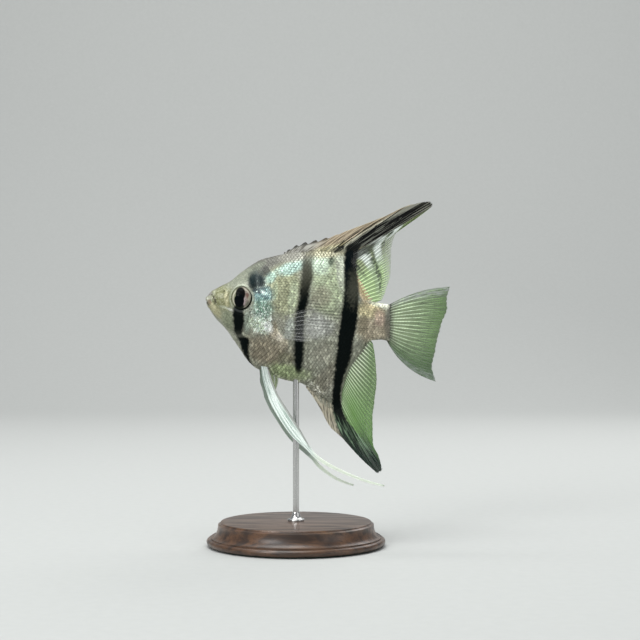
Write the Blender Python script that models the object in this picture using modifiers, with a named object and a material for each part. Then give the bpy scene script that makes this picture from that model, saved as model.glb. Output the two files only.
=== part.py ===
"""Freshwater angelfish, life size, as a still museum model on a plain display stand.

Frame: metres, +Z up. The origin is the middle of the stand's flat underside, straight below
the rod. The fish faces -X, and its left flank faces -Y.

The fish is drawn in millimetres in its own side view: x runs back from the tip of the snout
and z up from it. place() sets that drawing into the frame.
"""
import math

import bmesh
import bpy
import numpy as np
from mathutils import Vector

# ---- driving dimensions, millimetres ----
MM = 0.001
STANDARD_LENGTH = 60.0        # tip of the snout to the end of the scaled tail stalk
SNOUT_HEIGHT = 79.8           # snout above the floor
ROD_PLACE = 29.4              # the rod's axis behind the snout
GAP = 0.3                     # clearance between neighbouring pieces

# Side outline: (distance behind the snout, height above it).
BACK_LINE = (
    (0.0, 0.0), (0.5, 1.1), (1.8, 2.8), (4.7, 4.5), (8.0, 6.2), (11.2, 8.8), (14.5, 11.1),
    (17.7, 13.0), (21.0, 14.1), (25.0, 15.0), (31.0, 15.8), (37.2, 16.1), (42.1, 15.8),
    (45.2, 14.8), (46.7, 12.4), (48.2, 9.1), (49.8, 6.1), (51.2, 3.2), (52.6, 0.8),
    (54.4, -0.3), (57.0, -0.9), (60.0, -1.3),
)
BELLY_LINE = (
    (0.0, 0.0), (0.4, -1.0), (1.2, -2.75), (2.35, -4.7), (3.8, -6.65), (5.8, -8.6),
    (7.65, -10.9), (9.2, -13.15), (10.5, -15.1), (12.0, -17.4), (13.3, -19.3), (14.8, -21.0),
    (17.0, -22.6), (21.0, -23.9), (24.2, -25.7), (27.5, -26.5), (31.0, -27.2),
    (35.0, -29.9), (38.0, -32.1), (40.8, -33.8), (42.6, -33.7), (44.0, -31.3), (45.2, -27.0),
    (47.0, -22.3), (50.2, -17.8), (52.6, -14.3), (54.4, -13.2), (57.0, -13.1), (60.0, -13.7),
)
# Half of the body's thickness at its thickest level, by distance behind the snout.
HALF_WIDTH = (
    (0.0, 1.0), (0.5, 1.7), (1.8, 2.3), (4.7, 3.1), (8.0, 4.0), (12.0, 4.9), (16.0, 5.7),
    (20.0, 6.1), (25.0, 6.2), (32.0, 5.9), (38.0, 5.3), (44.0, 4.3), (48.0, 3.4),
    (52.0, 2.6), (56.0, 2.05), (60.0, 1.5),
)
# How sharp the back and belly are: 1 is an ellipse, more is a keel.
KEEL = ((0.0, 0.8), (8.0, 0.9), (16.0, 1.2), (30.0, 1.45), (48.0, 1.4), (56.0, 1.05), (60.0, 1.0))
THICK_LEVEL_FALL = 0.125      # the thickest level drops this much for each mm behind the snout
TAIL_SWING = 2.0              # the tail fin's tip stands this far to the right of the midline
SWING_START = 35.0
SWING_END = 80.0

# Key rays of the fins: base x, base z, tip x, tip z, bow. Rays between them are blended.
DORSAL_RAYS = (
    (25.0, 13.6, 25.6, 15.6, 0.0), (29.5, 14.3, 30.6, 18.4, 0.0), (34.0, 14.6, 39.5, 20.4, 0.1),
    (38.0, 14.6, 48.5, 23.6, 0.2), (41.3, 14.4, 58.5, 26.9, 0.3), (43.6, 14.0, 67.0, 30.7, 0.3),
    (44.8, 13.4, 73.3, 32.5, 0.3), (45.5, 12.2, 74.2, 31.2, 0.2), (46.1, 11.0, 66.6, 25.2, 0.0),
    (46.8, 9.4, 62.4, 22.4, 0.0), (48.0, 6.9, 60.5, 16.2, 0.0), (49.6, 3.9, 60.4, 9.6, 0.0),
    (51.2, 1.0, 58.9, 3.6, 0.0), (53.4, -1.2, 57.4, -0.1, 0.0),
)
ANAL_RAYS = (
    (33.0, -26.5, 32.6, -28.4, 0.0), (35.0, -28.3, 35.1, -31.8, 0.0), (37.0, -29.9, 37.5, -35.8, 0.0),
    (39.0, -31.4, 40.4, -41.2, -0.2), (40.6, -32.3, 44.6, -45.2, -0.4),
    (41.6, -32.6, 49.0, -50.0, -0.6), (42.3, -32.5, 53.4, -54.3, -0.8),
    (42.8, -31.9, 56.1, -56.4, -0.8), (43.1, -30.8, 57.5, -54.9, -0.7),
    (43.4, -29.2, 56.4, -51.0, -0.5), (43.8, -27.4, 54.6, -46.9, -0.4),
    (44.6, -24.6, 54.4, -39.5, -0.3), (45.7, -21.6, 55.0, -32.8, -0.2),
    (47.3, -18.9, 55.7, -27.2, 0.0), (49.3, -16.4, 55.5, -22.2, 0.0),
    (51.2, -14.0, 55.0, -17.6, 0.0), (52.9, -12.2, 54.3, -13.9, 0.0),
)
CAUDAL_RAYS = (
    (58.9, -2.0, 80.1, 4.4, 1.5), (58.5, -3.5, 79.1, 0.6, 0.9), (58.2, -5.3, 78.9, -3.0, 0.5),
    (58.0, -7.2, 77.2, -7.6, 0.0), (58.0, -9.1, 75.9, -12.2, -0.3), (58.2, -10.9, 74.9, -17.0, -0.8),
    (58.5, -12.2, 74.0, -21.6, -1.5), (58.8, -13.0, 75.4, -26.7, -2.4),
)
PECTORAL_RAYS = (
    (20.9, -7.0, 35.2, -2.4, 0.4), (20.8, -8.2, 38.2, -4.6, 0.3), (20.6, -9.4, 39.0, -8.0, 0.1),
    (20.4, -10.5, 37.6, -11.6, -0.1), (20.2, -11.6, 33.4, -13.6, -0.3),
)
PECTORAL_ROOT = 5.2           # where the pectoral fin's root lies inside the flank
PECTORAL_SPREAD = 5.0         # how far further out its tips stand

# Pelvic fins: middle line x, z, width across, distance from the midline.
PELVIC_LEFT = (
    (18.9, -20.6, 2.0, 1.4), (20.2, -26.0, 2.9, 2.3), (21.4, -29.4, 3.1, 2.8), (22.9, -32.8, 3.5, 3.1),
    (25.7, -37.4, 3.8, 3.3), (28.9, -42.2, 3.6, 3.4), (31.2, -45.2, 2.6, 3.4), (33.2, -47.6, 1.7, 3.4),
    (35.6, -50.3, 1.3, 3.3), (38.8, -52.6, 1.2, 3.2), (42.1, -54.4, 1.1, 3.1), (48.6, -57.3, 0.9, 2.9),
    (53.5, -59.0, 0.8, 2.7), (58.0, -60.2, 0.6, 2.5),
)
PELVIC_RIGHT = (
    (18.4, -20.4, 2.6, 1.4), (20.6, -25.8, 6.2, 2.5), (20.6, -30.2, 3.9, 3.1), (21.8, -34.0, 3.4, 3.5),
    (24.4, -38.2, 3.6, 3.8), (27.5, -43.2, 3.3, 4.0), (30.4, -47.2, 2.2, 4.1), (32.9, -49.8, 1.6, 4.1),
    (35.0, -51.9, 1.3, 4.0), (36.6, -54.0, 1.2, 3.9), (39.2, -56.2, 1.1, 3.8), (42.2, -58.2, 1.0, 3.7),
    (45.2, -59.6, 0.8, 3.6), (48.2, -60.6, 0.6, 3.5),
)
FIN_THICKNESS = 0.6
DORSAL_LEAN = 0.9                 # how far the long tips stand out of the middle plane
ANAL_LEAN = -0.9
CAUDAL_TWIST = 1.0                # upper and lower lobes lean opposite ways by half of this

# Head
EYE_PLACE = (12.0, 3.35, 0.5)     # behind the snout, out from the midline, above the snout
EYE_RADII = (3.45, 2.15, 3.9)
# Rear edge of the head, from the nape round the gill cover to the throat.
HEAD_EDGE = (
    (19.6, 24.0), (19.6, 12.0), (20.9, 6.0), (21.8, 1.5), (22.2, -2.8), (21.9, -6.2),
    (20.6, -9.2), (18.2, -11.3), (14.8, -12.3), (10.4, -12.8), (0.0, -13.4),
)
GILL_FRONT = ((16.8, 4.2), (16.1, 0.0), (15.4, -4.5), (14.2, -8.2), (11.8, -11.6))
GILL_DEPTH = 3.4                  # the gill cover's inner face lies this far from the midline
GILL_FLOOR = -16.0
GILL_REAR = 26.0
JAW_LINE = ((-1.0, -0.6), (0.9, -0.8), (2.2, -2.0), (4.2, -4.1), (6.2, -5.9))
JAW_FLOOR = -14.0
STALK_START = 54.9                # the trunk ends and the tail stalk begins
STALK_ROOM = (12.0, -26.0)        # top and bottom of the block that parts the tail stalk

# Stand
BASE_RADIUS = 29.0
BASE_HEIGHT = 8.0
BASE_FOOT_HEIGHT = 2.6            # the straight foot band under the moulded edge
BASE_EDGE_SOFTENING = 0.4
MOULDING_RADIUS = 3.4             # quarter-round moulding between the top and the foot band
MOULDING_STEP = 1.2               # small square step above the moulding
TABLE_RADIUS = 24.0               # the flat top inside the moulding
ROD_RADIUS = 1.0
ROD_FOOT = 3.0                    # the rod's lower end above the floor
ROD_DEPTH = 5.0                   # how far the rod reaches into the belly
COLLAR_RADIUS = 2.8
COLLAR_HEIGHT = 2.6
COLLAR_CHAMFER = 1.0

# Reach of the cutting blocks past the fish
HALF_SPAN = 12.0
BLOCK_FRONT = -6.0

PARTS = "freshwater_angelfish"
CUTTERS = "cutters"


# ---- shape functions ----
def clear_scene():
    for thing in list(bpy.data.objects):
        bpy.data.objects.remove(thing, do_unlink=True)


def collection(name):
    made = bpy.data.collections.new(name)
    bpy.context.scene.collection.children.link(made)
    return made


def smooth_line(points):
    """A smooth function through (x, value) points that never overshoots them."""
    xs = [p[0] for p in points]
    values = [p[1] for p in points]
    rises = [(values[i + 1] - values[i]) / (xs[i + 1] - xs[i]) for i in range(len(xs) - 1)]
    slopes = [rises[0]]
    for before, after in zip(rises, rises[1:]):
        same_way = before * after > 0
        slopes.append(2 * before * after / (before + after) if same_way else 0.0)
    slopes.append(rises[-1])

    def value(x):
        x = min(max(x, xs[0]), xs[-1])
        i = min(max(int(np.searchsorted(xs, x)) - 1, 0), len(xs) - 2)
        span = xs[i + 1] - xs[i]
        t = (x - xs[i]) / span
        rest = 1 - t
        ends = values[i] * rest * rest * (1 + 2 * t) + values[i + 1] * t * t * (3 - 2 * t)
        return ends + span * t * rest * (slopes[i] * rest - slopes[i + 1] * t)

    return value


def blended(rows):
    """A function of 0..1 that runs smoothly through rows of numbers."""
    count = len(rows) - 1
    columns = [smooth_line([(i / count, row[k]) for i, row in enumerate(rows)])
               for k in range(len(rows[0]))]
    return lambda t: [column(t) for column in columns]


back = smooth_line(BACK_LINE)
belly = smooth_line(BELLY_LINE)
half_width = smooth_line(HALF_WIDTH)
keel = smooth_line(KEEL)


def swing(x):
    """How far the tail end stands to the right of the midline at x."""
    return TAIL_SWING * max(0.0, (x - SWING_START) / (SWING_END - SWING_START)) ** 2


def place(x, y, z):
    """A point of the fish drawing, in the frame, in metres."""
    return Vector(((x - ROD_PLACE) * MM, (y + swing(x)) * MM, (z + SNOUT_HEIGHT) * MM))


def even_stations():
    """Distances behind the snout whose outline steps are even."""
    xs = np.linspace(0.0, STANDARD_LENGTH, 600)
    tops = np.array([back(x) for x in xs])
    bottoms = np.array([belly(x) for x in xs])
    steps = np.diff(xs) + 0.5 * np.abs(np.diff(tops)) + 0.5 * np.abs(np.diff(bottoms))
    run = np.concatenate(([0.0], np.cumsum(steps)))
    return lambda fraction: float(np.interp(fraction, run / run[-1], xs))


station = even_stations()


def body_point(fraction, side, up, grow):
    """The body's surface at a station; side and up are the cosine and sine round the section."""
    x = station(fraction)
    level = -THICK_LEVEL_FALL * x
    reach = back(x) - level if up > 0 else level - belly(x)
    z = level + (max(reach, 0.02) + grow) * up
    y = (half_width(x) + grow) * math.copysign(abs(side) ** keel(x), side)
    return x, y, z


# ---- mesh helpers ----
def material(name, colour, roughness, metallic=0.0):
    made = bpy.data.materials.new(name)
    made.use_nodes = True
    shader = made.node_tree.nodes["Principled BSDF"]
    shader.inputs["Base Color"].default_value = (*colour, 1.0)
    shader.inputs["Roughness"].default_value = roughness
    shader.inputs["Metallic"].default_value = metallic
    made.diffuse_color = (*colour, 1.0)
    return made


def mesh_object(name, bm, home, look=None):
    """A named object from a bmesh, which is freed."""
    mesh = bpy.data.meshes.new(name)
    bm.to_mesh(mesh)
    bm.free()
    mesh.shade_smooth()
    made = bpy.data.objects.new(name, mesh)
    home.objects.link(made)
    if look:
        mesh.materials.append(look)
    return made


def as_cutter(thing):
    thing.hide_render = True
    thing.display_type = "WIRE"
    return thing


def boolean(thing, cutter, operation):
    modifier = thing.modifiers.new(cutter.name, "BOOLEAN")
    modifier.operation = operation
    modifier.solver = "EXACT"
    modifier.object = cutter


def cut(thing, *cutters):
    for cutter in cutters:
        boolean(thing, cutter, "DIFFERENCE")


def keep(thing, cutter):
    boolean(thing, cutter, "INTERSECT")


def body_mesh(grow=0.0, around=28, along=46):
    """The whole fish without fins, as one closed mesh."""
    bm = bmesh.new()
    bmesh.ops.create_uvsphere(bm, u_segments=around, v_segments=along, radius=1.0)
    for vert in bm.verts:
        turn = math.acos(min(max(vert.co.z, -1.0), 1.0)) / math.pi
        ring = math.hypot(vert.co.x, vert.co.y)
        fraction = min(turn * along / (along - 1), 1.0)
        if ring < 1e-4:
            end = 0.0 if turn < 0.5 else STANDARD_LENGTH
            nose = -grow if turn < 0.5 else grow
            vert.co = place(end + nose, 0.0, -THICK_LEVEL_FALL * end)
            continue
        x, y, z = body_point(fraction, -vert.co.x / ring, vert.co.y / ring, grow)
        x += grow if fraction == 1.0 else 0.0
        vert.co = place(x, y, z)
    return bm


def outline_block(name, points, low, high, home, shift=(0.0, 0.0)):
    """A block of the given side outline, from y = low to y = high, as a cutter."""
    curve = bpy.data.curves.new(name, "CURVE")
    curve.dimensions = "2D"
    curve.fill_mode = "BOTH"
    curve.extrude = (high - low) / 2 * MM
    spline = curve.splines.new("POLY")
    spline.points.add(len(points) - 1)
    for point, (x, z) in zip(spline.points, points):
        point.co = ((x + shift[0] - ROD_PLACE) * MM, (z + shift[1] + SNOUT_HEIGHT) * MM, 0.0, 1.0)
    spline.use_cyclic_u = True
    flat = bpy.data.objects.new(name + "_outline", curve)
    home.objects.link(flat)
    flat.location.y = (high + low) / 2 * MM
    flat.rotation_euler.x = math.pi / 2
    bpy.context.view_layer.update()
    seen = flat.evaluated_get(bpy.context.evaluated_depsgraph_get())
    mesh = bpy.data.meshes.new_from_object(seen)
    mesh.name = name
    bm = bmesh.new()
    bm.from_mesh(mesh)
    bmesh.ops.remove_doubles(bm, verts=bm.verts, dist=1e-6)
    bmesh.ops.recalc_face_normals(bm, faces=bm.faces)
    bm.to_mesh(mesh)
    bm.free()
    made = bpy.data.objects.new(name, mesh)
    made.matrix_world = flat.matrix_world
    home.objects.link(made)
    bpy.data.objects.remove(flat, do_unlink=True)
    return as_cutter(made)


def softened(points, steps=3):
    """A run of points through the given ones, as a smooth curve."""
    curve = blended(points)
    count = (len(points) - 1) * steps
    return [tuple(curve(i / count)) for i in range(count + 1)]


# ---- the body and its divisions ----
def head_blocks(home):
    """Outline blocks that part the head from the trunk: the head's own, and the trunk's cutter."""
    edge = softened(HEAD_EDGE)
    edge += [(BLOCK_FRONT, edge[-1][1]), (BLOCK_FRONT, edge[0][1])]
    own = outline_block("head_block", edge, -HALF_SPAN, HALF_SPAN, home)
    wide = outline_block("head_clearance", edge, -HALF_SPAN, HALF_SPAN, home, shift=(GAP, -GAP))
    return own, wide


def jaw_blocks(home):
    line = softened(JAW_LINE)
    line += [(line[-1][0], JAW_FLOOR), (BLOCK_FRONT, JAW_FLOOR), (BLOCK_FRONT, line[0][1])]
    own = outline_block("jaw_block", line, -HALF_SPAN, HALF_SPAN, home)
    wide = outline_block("jaw_clearance", line, -HALF_SPAN, HALF_SPAN, home, shift=(GAP, GAP))
    return own, wide


def gill_blocks(home, side, sign):
    """Blocks of one gill cover; sign is -1 on the left and +1 on the right."""
    line = softened(GILL_FRONT)
    line += [(line[-1][0], GILL_FLOOR), (GILL_REAR, GILL_FLOOR), (GILL_REAR, line[0][1])]
    own_span = sorted((sign * GILL_DEPTH, sign * HALF_SPAN))
    wide_span = sorted((sign * (GILL_DEPTH - GAP), sign * (HALF_SPAN + GAP)))
    own = outline_block("gill_block_" + side, line, *own_span, home)
    wide = outline_block("gill_clearance_" + side, line, *wide_span, home, shift=(-GAP, GAP))
    return own, wide


def eye_mesh(sign, grow=0.0):
    bm = bmesh.new()
    bmesh.ops.create_uvsphere(bm, u_segments=18, v_segments=10, radius=1.0)
    x, y, z = EYE_PLACE
    for vert in bm.verts:
        out = vert.co.z * (EYE_RADII[1] + grow)
        ahead = vert.co.x * (EYE_RADII[0] + grow)
        above = vert.co.y * (EYE_RADII[2] + grow)
        vert.co = place(x - sign * ahead, sign * (y + out), z + above)
    return bm


def build_body(parts, cutters, looks):
    head_own, head_wide = head_blocks(cutters)
    jaw_own, jaw_wide = jaw_blocks(cutters)

    head = mesh_object("head", body_mesh(), parts, looks["head_skin"])
    keep(head, head_own)
    cut(head, jaw_wide)

    jaw = mesh_object("lower_jaw", body_mesh(), parts, looks["head_skin"])
    keep(jaw, jaw_own)

    for side, sign in (("left", -1), ("right", 1)):
        gill_own, gill_wide = gill_blocks(cutters, side, sign)
        cover = mesh_object("gill_cover_" + side, body_mesh(), parts, looks["gill_skin"])
        keep(cover, head_own)
        keep(cover, gill_own)
        cut(head, gill_wide)
        socket = as_cutter(mesh_object("eye_socket_" + side, eye_mesh(sign, GAP), cutters))
        cut(head, socket)
        mesh_object("eye_" + side, eye_mesh(sign), parts, looks["eye"])

    trunk = mesh_object("trunk", body_mesh(), parts, looks["flank_skin"])
    far = STANDARD_LENGTH + HALF_SPAN
    high, low = STALK_ROOM
    stalk_box = [(STALK_START, high), (far, high), (far, low), (STALK_START, low)]
    stalk_own = outline_block("stalk_block", stalk_box, -HALF_SPAN, HALF_SPAN, cutters)
    stalk_wide = outline_block("stalk_clearance", stalk_box, -HALF_SPAN, HALF_SPAN, cutters,
                               shift=(-GAP, 0.0))
    cut(trunk, head_wide, stalk_wide, rod_bore(cutters))

    stalk = mesh_object("tail_stalk", body_mesh(), parts, looks["flank_skin"])
    keep(stalk, stalk_own)


# ---- fins ----
def fin_mesh(rays, across, along, lean):
    """A sheet over the fin's rays; lean(u, v) is its distance out from the midline."""
    ray = blended(rays)
    bm = bmesh.new()
    bmesh.ops.create_grid(bm, x_segments=across, y_segments=along, size=0.5)
    for vert in bm.verts:
        u = vert.co.x + 0.5
        v = vert.co.y + 0.5
        base_x, base_z, tip_x, tip_z, bow = ray(min(max(u, 0.0), 1.0))
        run_x = tip_x - base_x
        run_z = tip_z - base_z
        length = math.hypot(run_x, run_z)
        bulge = 4 * bow * v * (1 - v) / length
        vert.co = place(base_x + run_x * v - run_z * bulge, lean(u, v),
                        base_z + run_z * v + run_x * bulge)
    return bm


def ribbon_mesh(rows, sign, along, across):
    """A long narrow fin along its middle line; sign is -1 on the left and +1 on the right."""
    line = blended(rows)
    bm = bmesh.new()
    bmesh.ops.create_grid(bm, x_segments=along, y_segments=across, size=0.5)
    for vert in bm.verts:
        t = min(max(vert.co.x + 0.5, 0.0), 1.0)
        x, z, width, out = line(t)
        ahead = line(min(t + 0.01, 1.0))
        behind = line(max(t - 0.01, 0.0))
        run = Vector((ahead[0] - behind[0], ahead[1] - behind[1])).normalized()
        offset = vert.co.y * width
        vert.co = place(x - run.y * offset, sign * out, z + run.x * offset)
    return bm


def add_fin(name, bm, parts, body_room, look):
    """A fin of even thickness, cut back to clear the body."""
    fin = mesh_object(name, bm, parts, look)
    wall = fin.modifiers.new("thickness", "SOLIDIFY")
    wall.thickness = FIN_THICKNESS * MM
    wall.offset = 0.0
    cut(fin, body_room)


def pectoral_spread(sign):
    return lambda u, v: sign * (PECTORAL_ROOT + PECTORAL_SPREAD * v ** 0.8)


def build_fins(parts, cutters, looks):
    room = as_cutter(mesh_object("body_clearance", body_mesh(GAP), cutters))
    dorsal = fin_mesh(DORSAL_RAYS, 26, 6, lambda u, v: DORSAL_LEAN * v * v * u)
    anal = fin_mesh(ANAL_RAYS, 26, 6, lambda u, v: ANAL_LEAN * v * v * u)
    caudal = fin_mesh(CAUDAL_RAYS, 14, 6, lambda u, v: CAUDAL_TWIST * (0.5 - u) * v * v)
    add_fin("dorsal_fin", dorsal, parts, room, looks["fin"])
    add_fin("anal_fin", anal, parts, room, looks["fin"])
    add_fin("caudal_fin", caudal, parts, room, looks["fin"])
    for side, sign, rows in (("left", -1, PELVIC_LEFT), ("right", 1, PELVIC_RIGHT)):
        pelvic = ribbon_mesh(rows, sign, 28, 2)
        pectoral = fin_mesh(PECTORAL_RAYS, 7, 5, pectoral_spread(sign))
        add_fin("pelvic_fin_" + side, pelvic, parts, room, looks["pelvic"])
        add_fin("pectoral_fin_" + side, pectoral, parts, room, looks["fin"])


# ---- stand ----
def belly_height():
    """The belly's height above the floor where the rod meets it."""
    return SNOUT_HEIGHT + belly(ROD_PLACE)


def upright(name, radius, low, high, home, look=None):
    """A round bar on the rod's axis."""
    bm = bmesh.new()
    bmesh.ops.create_cone(bm, cap_ends=True, segments=24, radius1=radius * MM,
                          radius2=radius * MM, depth=(high - low) * MM)
    bmesh.ops.translate(bm, verts=bm.verts, vec=(0.0, 0.0, (high + low) / 2 * MM))
    return mesh_object(name, bm, home, look)


def rod_bore(home):
    """The hole in the belly that the rod stands in."""
    belly_z = belly_height()
    top = belly_z + ROD_DEPTH + GAP
    return as_cutter(upright("rod_bore", ROD_RADIUS + GAP, belly_z - ROD_DEPTH, top, home))


def turned(name, profile, look, home, steps):
    """A turned piece from its outer profile, listed top to bottom."""
    bm = bmesh.new()
    verts = [bm.verts.new((r * MM, 0.0, z * MM)) for r, z in profile]
    for upper, lower in zip(verts, verts[1:]):
        bm.edges.new((upper, lower))
    made = mesh_object(name, bm, home, look)
    screw = made.modifiers.new("turn", "SCREW")
    screw.steps = steps
    screw.render_steps = steps
    screw.use_merge_vertices = True
    screw.merge_threshold = 1e-5
    screw.use_smooth_shade = True
    return made


def base_profile():
    """The base's outline from the floor of the rod's hole, over the top, to the underside."""
    hole = ROD_RADIUS + GAP
    hole_floor = ROD_FOOT - GAP
    step = BASE_HEIGHT - MOULDING_STEP
    profile = [(0.0, hole_floor), (hole, hole_floor), (hole, BASE_HEIGHT), (TABLE_RADIUS, BASE_HEIGHT)]
    for quarter in (0.0, 0.33, 0.66, 1.0):
        turn = quarter * math.pi / 2
        drop = (step - BASE_FOOT_HEIGHT) * (1 - math.cos(turn))
        profile.append((TABLE_RADIUS + MOULDING_RADIUS * math.sin(turn), step - drop))
    soft = BASE_EDGE_SOFTENING
    profile += [(BASE_RADIUS - soft, BASE_FOOT_HEIGHT), (BASE_RADIUS, BASE_FOOT_HEIGHT - soft)]
    profile += [(BASE_RADIUS, soft), (BASE_RADIUS - soft, 0.0), (0.0, 0.0)]
    return profile


def collar_profile():
    """The collar's outline, closed on itself round the rod's clearance."""
    bore = ROD_RADIUS + GAP
    low = BASE_HEIGHT + GAP
    high = low + COLLAR_HEIGHT
    return [(bore, low), (bore, high), (COLLAR_RADIUS - COLLAR_CHAMFER, high),
            (COLLAR_RADIUS, high - COLLAR_CHAMFER), (COLLAR_RADIUS, low), (bore, low)]


def build_stand(parts, looks):
    turned("stand_base", base_profile(), looks["stand_wood"], parts, 40)
    turned("stand_collar", collar_profile(), looks["stand_metal"], parts, 28)
    top = belly_height() + ROD_DEPTH
    upright("stand_rod", ROD_RADIUS, ROD_FOOT, top, parts, looks["stand_metal"])


def main():
    clear_scene()
    parts = collection(PARTS)
    cutters = collection(CUTTERS)
    looks = {
        "head_skin": material("head_skin", (0.42, 0.42, 0.34), 0.35, 0.2),
        "gill_skin": material("gill_skin", (0.42, 0.52, 0.44), 0.25, 0.4),
        "flank_skin": material("flank_skin", (0.40, 0.41, 0.35), 0.3, 0.35),
        "fin": material("fin", (0.35, 0.40, 0.28), 0.4),
        "pelvic": material("pelvic", (0.65, 0.74, 0.72), 0.35),
        "eye": material("eye", (0.04, 0.04, 0.045), 0.05),
        "stand_wood": material("stand_wood", (0.10, 0.055, 0.03), 0.4),
        "stand_metal": material("stand_metal", (0.62, 0.61, 0.58), 0.25, 1.0),
    }
    build_body(parts, cutters, looks)
    build_fins(parts, cutters, looks)
    build_stand(parts, looks)


main()
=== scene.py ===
"""Freshwater angelfish on a display stand: skin, scales, fins, eyes, turned base and lights.

The fish is drawn in millimetres in its own side view, x back from the tip of the snout and z
up from it, and y out from the midline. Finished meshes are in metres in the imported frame.
"""

import math
import random

import bmesh
import bpy
import numpy as np
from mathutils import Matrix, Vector


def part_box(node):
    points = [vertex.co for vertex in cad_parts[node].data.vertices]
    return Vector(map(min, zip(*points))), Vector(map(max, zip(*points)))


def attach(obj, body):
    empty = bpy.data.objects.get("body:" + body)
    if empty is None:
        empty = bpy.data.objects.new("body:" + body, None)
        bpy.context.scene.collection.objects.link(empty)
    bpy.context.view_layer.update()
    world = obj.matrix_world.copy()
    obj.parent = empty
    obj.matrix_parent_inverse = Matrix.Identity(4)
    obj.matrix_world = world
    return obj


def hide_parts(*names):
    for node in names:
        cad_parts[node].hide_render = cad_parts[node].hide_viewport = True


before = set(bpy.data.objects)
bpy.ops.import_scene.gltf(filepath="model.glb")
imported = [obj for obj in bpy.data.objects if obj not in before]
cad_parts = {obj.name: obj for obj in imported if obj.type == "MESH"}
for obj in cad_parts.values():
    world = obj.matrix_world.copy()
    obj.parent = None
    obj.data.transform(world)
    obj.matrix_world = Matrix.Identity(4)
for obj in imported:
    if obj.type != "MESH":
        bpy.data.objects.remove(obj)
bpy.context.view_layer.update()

MM = 0.001
BODY = "root"
SEED = 20
SIDES = (("left", -1), ("right", 1))

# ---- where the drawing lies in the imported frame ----
HEAD_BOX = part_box("head")
EYE_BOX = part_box("eye_left")
STALK_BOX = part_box("tail_stalk")
EYE_LEVEL = 0.5                   # the eye's middle above the snout
SNOUT_X = HEAD_BOX[0].x / MM
SNOUT_Z = (EYE_BOX[0].z + EYE_BOX[1].z) / 2 / MM - EYE_LEVEL
LENGTH = STALK_BOX[1].x / MM - SNOUT_X

# ---- the body's form, millimetres ----
BACK_LINE = (
    (0.0, 0.0), (0.5, 1.1), (1.8, 2.8), (4.7, 4.5), (8.0, 6.2), (11.2, 8.8), (14.5, 11.1),
    (17.7, 13.0), (21.0, 14.1), (25.0, 15.0), (31.0, 15.8), (37.2, 16.1), (42.1, 15.8),
    (45.2, 14.8), (46.7, 12.4), (48.2, 9.1), (49.8, 6.1), (51.2, 3.2), (52.6, 0.8),
    (54.4, -0.3), (57.0, -0.9), (60.0, -1.3),
)
BELLY_LINE = (
    (0.0, 0.0), (0.4, -1.0), (1.2, -2.75), (2.35, -4.7), (3.8, -6.65), (5.8, -8.6),
    (7.65, -10.9), (9.2, -13.15), (10.5, -15.1), (12.0, -17.4), (13.3, -19.3), (14.8, -21.0),
    (17.0, -22.6), (21.0, -23.9), (24.2, -25.7), (27.5, -26.5), (31.0, -27.2),
    (35.0, -29.9), (38.0, -32.1), (40.8, -33.8), (42.6, -33.7), (44.0, -31.3), (45.2, -27.0),
    (47.0, -22.3), (50.2, -17.8), (52.6, -14.3), (54.4, -13.2), (57.0, -13.1), (60.0, -13.7),
)
HALF_WIDTH = (
    (0.0, 1.0), (0.5, 1.7), (1.8, 2.3), (4.7, 3.1), (8.0, 4.0), (12.0, 4.9), (16.0, 5.7),
    (20.0, 6.1), (25.0, 6.2), (32.0, 5.9), (38.0, 5.3), (44.0, 4.3), (48.0, 3.4),
    (52.0, 2.6), (56.0, 2.05), (60.0, 1.5),
)
KEEL = ((0.0, 0.8), (8.0, 0.9), (16.0, 1.2), (30.0, 1.45), (48.0, 1.4), (56.0, 1.05), (60.0, 1.0))
LEVEL_FALL = 0.125
TAIL_SWING = 2.0
SWING_START = 35.0
SWING_END = 80.0

HEAD_EDGE = (
    (19.6, 12.0), (20.9, 6.0), (21.8, 1.5), (22.2, -2.8), (21.9, -6.2),
    (20.6, -9.2), (18.2, -11.3), (14.8, -12.3), (10.4, -12.8),
)
EYE_MIDDLE = (12.0, 0.5)
EYE_RADII = (3.45, 2.15, 3.9)

# ---- fins: base x, base z, tip x, tip z, bow of each key ray ----
DORSAL_RAYS = (
    (25.0, 13.6, 25.6, 15.6, 0.0), (29.5, 14.3, 30.6, 18.4, 0.0), (34.0, 14.6, 39.5, 20.4, 0.1),
    (38.0, 14.6, 48.5, 23.6, 0.2), (41.3, 14.4, 58.3, 27.4, 0.3), (43.6, 14.0, 66.5, 31.2, 0.3),
    (44.8, 13.4, 73.3, 32.5, 0.3), (45.5, 12.2, 74.2, 31.2, 0.2), (46.1, 11.0, 66.6, 25.2, 0.0),
    (46.8, 9.4, 62.4, 22.4, 0.0), (48.0, 6.9, 60.5, 16.2, 0.0), (49.6, 3.9, 60.4, 9.6, 0.0),
    (51.2, 1.0, 58.9, 3.6, 0.0), (53.4, -1.2, 57.4, -0.1, 0.0),
)
ANAL_RAYS = (
    (33.0, -26.5, 32.6, -28.4, 0.0), (35.0, -28.3, 35.1, -31.8, 0.0),
    (37.0, -29.9, 37.5, -35.8, 0.0), (39.0, -31.4, 40.4, -41.2, -0.2),
    (40.6, -32.3, 44.6, -45.2, -0.4), (41.6, -32.6, 49.0, -50.0, -0.6),
    (42.3, -32.5, 53.4, -54.3, -0.8), (42.8, -31.9, 56.1, -56.4, -0.8),
    (43.1, -30.8, 57.5, -54.9, -0.7), (43.4, -29.2, 56.4, -51.0, -0.5),
    (43.8, -27.4, 54.6, -46.9, -0.4), (44.6, -24.6, 54.4, -39.5, -0.3),
    (45.7, -21.6, 55.0, -32.8, -0.2), (47.3, -18.9, 55.7, -27.2, 0.0),
    (49.3, -16.4, 55.5, -22.2, 0.0), (51.2, -14.0, 55.0, -17.6, 0.0),
    (52.9, -12.2, 54.3, -13.9, 0.0),
)
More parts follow.
